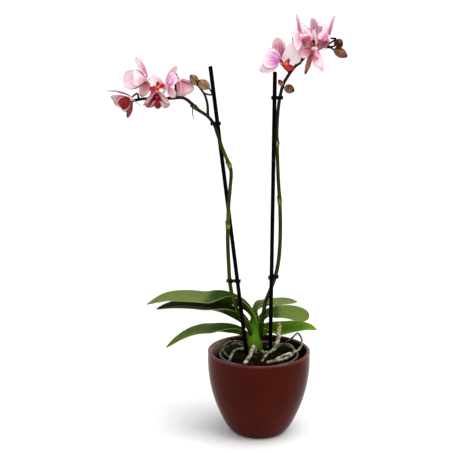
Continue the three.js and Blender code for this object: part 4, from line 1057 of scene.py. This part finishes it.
for spike, stem in STEMS.items():
    side = spike.split("_")[1]
    line = catmull(stem, STEM_POINTS)
    u = np.linspace(0, 1, STEM_POINTS)
    from_joints = [np.linalg.norm(line - joint, axis=1) for joint in JOINTS[spike]]
    swell = sum(0.45 * np.exp(-((away - 3) / 3) ** 2) for away in from_joints)
    parts = [tube("stem", line, mix(*STEM_RADIUS, u) + swell, 16)]
    if side == "left":
        parts.append(tube("twig", catmull(TWIG, TWIG_POINTS), np.linspace(*TWIG_RADIUS, TWIG_POINTS), 12))
        thinning = np.linspace(*SPENT_RADIUS, SPENT_POINTS)
        parts.append(tube("spent_stalk", catmull(SPENT_STALK, SPENT_POINTS), thinning, 8))
    for name, bloom in BLOOMS.items():
        if name.startswith(side):
            facing = unit(np.array(bloom["face"]))
            back = np.array(bloom["at"]) - 3 * facing
            parts.append(stalk(PEDICEL_RADIUS, bloom["start"], back - 7 * facing, back))
    for name, (centre, axis, across, half, start, bend) in BUDS.items():
        if side in name:
            tip = np.array(centre) + (0.6 - half) * unit(np.array(axis))
            middle = bend or tuple((np.array(start) + tip) / 2 - (0, 0, 1.2))
            parts.append(stalk(BUD_STALK_RADIUS, start, middle, tip))
    for part in parts:
        coat(part, stem_skin)
    parts += [joint_scale(line, np.array(joint)) for joint in JOINTS[spike]]
    seat(join(spike + "_stem", parts), [], spike, slot="spike_green")

# ---------------------------------------------------------------- buds
# Closed buds: three blunt sepals meet in seams that run to the tip. They are olive at the foot and flush
# brown to crimson towards the tip, and some have dried to tan.
BUD_TAN = {
    "bud_left_1": 0.75, "bud_left_2": 0.95, "bud_right_1": 0, "bud_right_2": 0.3, "bud_right_3": 0.35,
    "bud_right_4": 0.3,
}
BUD_SEAMS, SEAM_WIDTH = 3, 0.045

bud_skin = Finish("bud_skin", Specular_IOR_Level=0.12)
bud_along = bud_skin.attribute("along")
bud_seam = bud_skin.attribute("seam")
bud_cloud = bud_skin.here.noise(130, 4, 0.6)
bud_tan = bud_skin.attribute("tan")
bud_tone = (bud_along + (bud_cloud - 0.5) * 0.35).colours(
    (0.05, "4c3c14"), (0.35, "5e3418"), (0.62, "50180e"), (0.82, "3c0a08"), (0.97, "1c0303"),
)
bud_tone = bud_tone.to_colour("a88660", bud_tan * bud_along.fall(0.7, 1.0) * (0.5 + bud_cloud * 0.8))
bud_tone = bud_tone.to_colour("e0bc94", bud_cloud.ramp(0.54, 0.7) * (0.25 + bud_tan * 0.6))
bud_tone = bud_tone.to_colour("3c0c08", bud_cloud.fall(0.36, 0.46) * 0.6)
bud_skin.feed(
    Base_Color=bud_tone.to_colour("1c0403", bud_seam * 0.85),
    Roughness=0.5 + bud_cloud * 0.2,
    Normal=(bud_cloud - bud_seam * 0.8).bump(0.5, 0.0009),
)
for name, (centre, axis, across, half, _, _) in BUDS.items():
    bud = ball(36, 24)
    x, y, up = np.array([v.co for v in bud.data.vertices]).T / MM
    turn = np.arctan2(y, x)
    off_seam = 0.5 - np.abs((turn * BUD_SEAMS / (2 * math.pi)) % 1 - 0.5)
    seam = np.exp(-(off_seam / SEAM_WIDTH) ** 2) * np.clip((1 - np.abs(up)) * 5, 0, 1)
    girth = across * (1 - 0.33 * np.clip(up, 0, 1) ** 1.6)
    girth *= 1 + 0.05 * np.cos(turn * BUD_SEAMS + math.pi) - 0.06 * seam
    tall = np.minimum(half * (up + 0.3 * np.clip(up - 0.85, 0, 1)), half)
    bud.data.vertices.foreach_set("co", (np.column_stack([x * girth, y * girth, tall]) * MM).ravel())
    give(bud.data, "along", up * 0.5 + 0.5)
    give(bud.data, "tan", BUD_TAN[name])
    give(bud.data, "seam", seam)
    bud.data.transform(moved(centre) @ pointed(axis))
    bud.name = name + "_closed"
    round_off(bud)
    seat(bud, [bud_skin], name, slot="bud_brown")

# ---------------------------------------------------------------- blooms
# Each bloom has three sepals behind two broad petals, round a short column. The tissue is thin, white to
# mauve-pink, with deep pink veins that fan out from the foot of each petal. The sepals' backs are duskier.
# outline is how the outline rises and falls. The foot is root in front of the hub's middle and start out.
SEPAL = {"length": 29, "half_width": 7.8, "outline": (0.6, 0.55), "root": -0.9, "start": 2.5}
PETAL = {"length": 25, "half_width": 13.5, "outline": (0.62, 0.34), "root": 0.9, "start": 1.5}
TEPAL_THICK, HUB = 0.8, (3.9, 3.9, 2.5)
COLUMN = [(0, 0.4, 0.5), (0, 1.2, 4), (0, 1.6, 7.4)]
COLUMN_RADIUS = [(0, 1.9), (0.6, 1.7), (0.9, 1.95), (1, 1.6)]
TINTS = ("blush", "dusk", "wine", "lilac")


def tepal_surface(shape, setting, cup, wave, seed):
    """A sepal or petal on a bloom that faces +Z with its top at +Y."""
    angle, low, high, long, wide, roll = setting
    turn = math.radians(angle)
    low, high = math.radians(low), math.radians(high)
    bend = high - low if abs(high - low) > 1e-4 else 1e-4
    out = np.array((math.sin(turn), math.cos(turn), 0))
    level = np.array((math.cos(turn), -math.sin(turn), 0))
    ahead = np.array((0, 0, 1))
    length = shape["length"] * long
    phase = np.random.default_rng(seed).uniform(0, 6.3, 3)

    def surface(u, v):
        slope = low + bend * u
        reach = shape["start"] + length * (np.sin(slope) - math.sin(low)) / bend
        lift = shape["root"] + length * (math.cos(low) - np.cos(slope)) / bend
        share = outline_share(u, *shape["outline"])
        width = np.maximum(0.7 * np.clip((1 - u) * 12, 0, 1), shape["half_width"] * long * wide * share)
        raised = width * v * v * cup + wave * v * v * np.sin(7 * u + 2 * v + angle)
        raised += 0.35 * np.abs(v) ** 3 * np.sin(17 * u + 3 * v + phase[0]) * np.sin(6 * u + phase[1])
        raised -= 0.35 * np.exp(-(v * 7) ** 2) * (1 - u)
        rolled = (math.radians(roll) * smooth(0, 0.35, u))[:, None]
        flat = -np.sin(slope)[:, None] * out + np.cos(slope)[:, None] * ahead
        side = level * np.cos(rolled) + flat * np.sin(rolled)
        normal = flat * np.cos(rolled) - level * np.sin(rolled)
        middle = out * reach[:, None] + ahead * lift[:, None]
        return middle + side * (width * v)[:, None] + normal * raised[:, None]
    return surface


def bloom_matrix(bloom):
    z = Vector(bloom["face"]).normalized()
    x = Vector(bloom["top"]).cross(z).normalized()
    turned_to = Matrix((x, z.cross(x), z)).transposed().to_4x4()
    return moved(bloom["at"]) @ turned_to @ Matrix.Scale(bloom["size"], 4)


def tepal_finish(name, pale, pink, deep, outer):
    """Thin tissue whose blush runs out from the foot in streaks, in pink, or in mauve where it is lilac.

    Wine stains it dark red. Dusk turns it brown, partly its own brown and partly painted shade.
    outer is how much of the bud's brown it keeps.
    """
    finish = Finish(name, Specular_IOR_Level=0.1)
    across = finish.uv.axis(0)
    along = finish.uv.axis(1)
    blush, dusk, wine, lilac = (finish.attribute(tint) for tint in TINTS)
    cloud = finish.here.noise(120, 4, 0.6)
    streaks = finish.uv.noise(1, 3, 0.6, (26, 1.6, 1))
    off_middle = abs(across - 0.5)
    wander = (across + (finish.here.noise(70, 2) - 0.5) * 0.05) * 62.8
    veins = (wander.maths("SINE", wander) * 0.5 + streaks * 1.4 - 0.6).ramp(0.05, 0.7)
    spread = (along + off_middle * 0.7 + (streaks - 0.5) * 0.9 - blush * 0.35).fall(0.15, 0.85)
    depth = blush * (0.3 + spread * 0.75) + (cloud - 0.5) * (0.1 + blush * 0.35)
    tone = depth.colours((0, "fdf4f6"), (0.09, pale), (0.4, pink), (0.95, deep))
    tone = tone.to_colour(deep, veins * spread * (blush * 0.8 + 0.06).ramp(0, 1.1))
    mauve = depth.colours((0, "fdf4fa"), (0.2, "f2d8e8"), (0.55, "e2a2d0"), (0.98, "c45cb4"))
    mauve = mauve.to_colour("bc48ac", veins * spread * (blush * 0.5).ramp(0, 1.1))
    tone = tone.to_colour(mauve, lilac)
    place = finish.wire.node("CombineXYZ", {}, {0: across * 9, 1: along * 1.3, 2: finish.attribute("mark")})
    bands = place.noise(1, 2, 0.5)
    fresh = 1 - dusk
    pale_bands = bands.ramp(0.52, 0.66) * along.ramp(0.1, 0.4) * fresh
    tone = tone.to_colour("fff2f5", pale_bands * (0.3 + blush * 0.3))
    tone = tone.to_colour("a03058", bands.fall(0.34, 0.46) * along.fall(0.4, 0.95) * blush * 0.6)
    tone = tone.to_colour("fff4f8", (1 - veins) * off_middle.fall(0.1, 0.3) * (1 - spread) * blush * 0.4)
    stain = wine * 1.3 + (cloud - 0.5) * 0.9 + (streaks - 0.5) * 0.6 + spread * 0.3 - 0.15
    stain = stain.ramp(0.2, 1.1) * wine.ramp(0, 0.3)
    tone = tone.to_colour("84101f", stain).to_colour("3c0409", stain * cloud.ramp(0.46, 0.66) * 0.85)
    # Painted shade and real brown: the dusky share browns the tissue, partly as its own colour and partly as
    # shade painted on the lower sepals.
    tone = tone.to_colour("8c4826", dusk * (0.6 + cloud * 0.5))
    # Painted highlight: a pale band just inside the margin. The dark pink line at the margin is a picotee
    # edge, and also painted shade where the edges fold and meet the next tepal.
    painted_rim_highlight = off_middle.ramp(0.34, 0.41) * off_middle.fall(0.42, 0.46)
    tone = tone.to_colour("fff6f8", painted_rim_highlight * fresh * streaks)
    tone = tone.to_colour("a84468", off_middle.ramp(0.455, 0.49) * (0.3 + blush * 0.5))
    tone = tone.to_colour("f2e6b8", along.fall(0.02, 0.12) * 0.35)
    tip = along.ramp(0.8, 1.0)
    tone = tone.to_colour("b07a68", along.ramp(0.05, 0.6) * outer * 0.35)
    tone = tone.to_colour("8a6444", tip * (0.06 + outer * 0.5))
    finish.feed(
        Base_Color=tone.to_colour("3a3214", tip * dusk),
        Roughness=0.5 + cloud * 0.15,
        Normal=(veins * 0.6 + cloud).bump(0.35, 0.0006),
    )
    return finish


petal_tissue = tepal_finish("petal_tissue", "f0d4da", "e69cb2", "c04680", 0)
sepal_face = tepal_finish("sepal_face", "eccdd4", "d48ca4", "ac3c66", 0.15)
sepal_back = tepal_finish("sepal_back", "eac6c9", "d08092", "9a3656", 0.7)

column_tissue = Finish("column_tissue", Specular_IOR_Level=0.12)
column_cloud = column_tissue.here.noise(220, 3)
column_tissue.feed(
    Base_Color=column_cloud.colours((0.35, "fdf1f0"), (0.6, "f0b7c8"), (0.8, "c2396f")),
    Roughness=0.42 + column_cloud * 0.1,
    Normal=column_cloud.bump(0.3, 0.0004),
)


def tinted(piece, *shares):
    """Stores how pink, dusky (brown, partly painted shade), wine red and lilac the piece is, and a number
    that marks its own pattern.
    """
    for tint, share in zip(TINTS, (*shares, 0, 0)):
        give(piece.data, tint, share)
    give(piece.data, "mark", draw.uniform(0, 40))


for number, (name, bloom) in enumerate(BLOOMS.items()):
    parts = []
    for k, setting in enumerate(bloom["sepals"] + bloom["petals"]):
        shut = max(0, setting[2] / 70)
        seed = 500 + 10 * number + k
        if k < len(bloom["sepals"]):
            surface = tepal_surface(SEPAL, setting, 0.1 + 0.15 * shut, 0, seed)
            tepal = blade("sepal", surface, 26, 16, (TEPAL_THICK, 0.45), back_material=1)
            coat(tepal, sepal_face, sepal_back)
        else:
            surface = tepal_surface(PETAL, setting, 0.1 + 0.42 * shut, 0.7 - 0.4 * shut, seed)
            tepal = blade("petal", surface, 28, 26, (TEPAL_THICK, 0.4))
            coat(tepal, petal_tissue)
        tinted(tepal, *bloom["tints"][k])
        parts.append(tepal)
    column_radius = np.interp(np.linspace(0, 1, 14), *zip(*COLUMN_RADIUS))
    for part in (ball(20, 12, HUB), tube("column", catmull(COLUMN, 14), column_radius, 16)):
        coat(part, column_tissue)
        round_off(part)
        tinted(part, 0.5, 0)
        parts.append(part)
    for part in parts:
        part.data.transform(bloom_matrix(bloom))
    seat(join(f"bloom_{name}_open", parts), [], "bloom_" + name, slot="petal_pink")

# ---------------------------------------------------------------- lips
# The lip is the third petal, folded into two side lobes that stand beside the column and a tongue below.
# It is deep crimson with a yellow, red-dotted callus in its throat and white flecks on the side lobes.
# wing, waist and tongue are half widths. The callus is two knobs in the throat.
LIP = {"length": 19, "wing": 8.6, "waist": 2.6, "tongue": 6.4, "root": (0, -3.3, 2.4)}
KNOB, KNOB_AT = (1.0, 1.3, 1.5), (1.1, -2.7, 5.9)
# How deep red and how golden in the throat a lip is, where it isn't fully so.
LIP_TINTS = {
    "left_3": (1, 0), "left_4": (0.7, 0.2), "left_5": (1, 0), "right_2": (0.55, 0.2), "right_3": (0.7, 0.3),
    "right_4": (0.3, 0.2), "right_5": (0.35, 0.1),
}


def lip_surface(u, v):
    wing = np.sin(math.pi * np.clip(u / 0.5, 0, 1)) ** 0.7
    tongue = np.sin(math.pi * np.clip((u - 0.42) / 0.62, 0, 1)) ** 0.6
    waist = LIP["waist"] * (1 - smooth(0.8, 1, u)) + 0.8
    width = np.maximum.reduce([waist, LIP["wing"] * wing, LIP["tongue"] * tongue])
    curl = np.radians(mix(96, 28, smooth(0.32, 0.58, u)))
    slope = np.radians(mix(66, -22, smooth(0, 1, u)))
    down = -LIP["length"] * 0.6 * u * (0.5 + 0.5 * u)
    out = LIP["length"] * (0.55 * u + 0.12 * np.sin(math.pi * u))
    across = width * np.sin(curl * v) / curl
    raised = width * (1 - np.cos(curl * v)) / curl + 0.3 * np.abs(v) ** 3 * np.sin(14 * u + 3 * v)
    return np.column_stack([across, down + raised * np.sin(slope), out + raised * np.cos(slope)])


lip_tissue = Finish("lip_tissue", Specular_IOR_Level=0.1)
lip_along = lip_tissue.uv.axis(1)
lip_off_middle = abs(lip_tissue.uv.axis(0) - 0.5)
lip_cloud = lip_tissue.here.noise(160, 4, 0.6)
lip_fleck = lip_tissue.here.noise(900, 2)
lip_flush, lip_gold = (lip_tissue.attribute(tint) for tint in ("flush", "gold"))
lip_tone = lip_cloud.colours((0.3, "5c0212"), (0.48, "980a26"), (0.72, "c01c44"))
lip_tone = lip_tone.to_colour("cf7f93", (1 - lip_flush) * (0.5 + lip_cloud * 0.6))
warmth = lip_off_middle.fall(0.1, 0.3) * lip_cloud.ramp(0.4, 0.6)
lip_tone = lip_tone.to_colour("c43a1c", warmth * lip_gold * 0.7)
throat = lip_along.fall(0.4, 0.64) * lip_along.ramp(0.05, 0.16) * lip_off_middle.fall(0.1, 0.34)
lip_tone = lip_tone.to_colour("ec9a26", throat * lip_gold)
banding = lip_along.fall(0.1, 0.3) * lip_off_middle.ramp(0.14, 0.3)
lip_tone = lip_tone.to_colour("f6dfe2", banding * lip_fleck.ramp(0.4, 0.6) * 0.8)
lip_tissue.feed(
    Base_Color=lip_tone.to_colour("5a0418", lip_fleck.ramp(0.6, 0.7) * 0.5),
    Roughness=0.34 + lip_cloud * 0.2,
    Normal=lip_cloud.bump(0.4, 0.0006),
)
callus_tissue = Finish("callus", Specular_IOR_Level=0.2, Roughness=0.35)
dots = callus_tissue.here.noise(1300, 2)
callus_tissue.feed(
    Base_Color=dots.colours((0.4, "f7b92e"), (0.6, "e98a1e"), (0.68, "a3201c")),
    Normal=dots.bump(0.3, 0.0002),
)
for name, bloom in BLOOMS.items():
    size, turn, tilt = bloom["lip"]
    flush, gold = LIP_TINTS.get(name, (1, 0.92))
    lip = blade("lip", lip_surface, 34, 22, (0.9 / size, 0.5))
    coat(lip, lip_tissue)
    give(lip.data, "flush", flush)
    give(lip.data, "gold", gold)
    parts = [lip]
    for side in (-1, 1):
        knob = ball(14, 10, KNOB)
        knob.data.transform(moved((side * KNOB_AT[0], *KNOB_AT[1:])))
        round_off(knob)
        coat(knob, callus_tissue if gold > 0.5 else lip_tissue)
        parts.append(knob)
    swung = Matrix.Rotation(math.radians(turn), 4, "Z") @ Matrix.Rotation(-math.radians(tilt), 4, "X")
    placed = bloom_matrix(bloom) @ moved(LIP["root"]) @ swung @ Matrix.Scale(size, 4)
    for part in parts:
        part.data.transform(placed)
    seat(join(f"lip_{name}_crimson", parts), [], "lip_" + name, slot="lip_crimson")
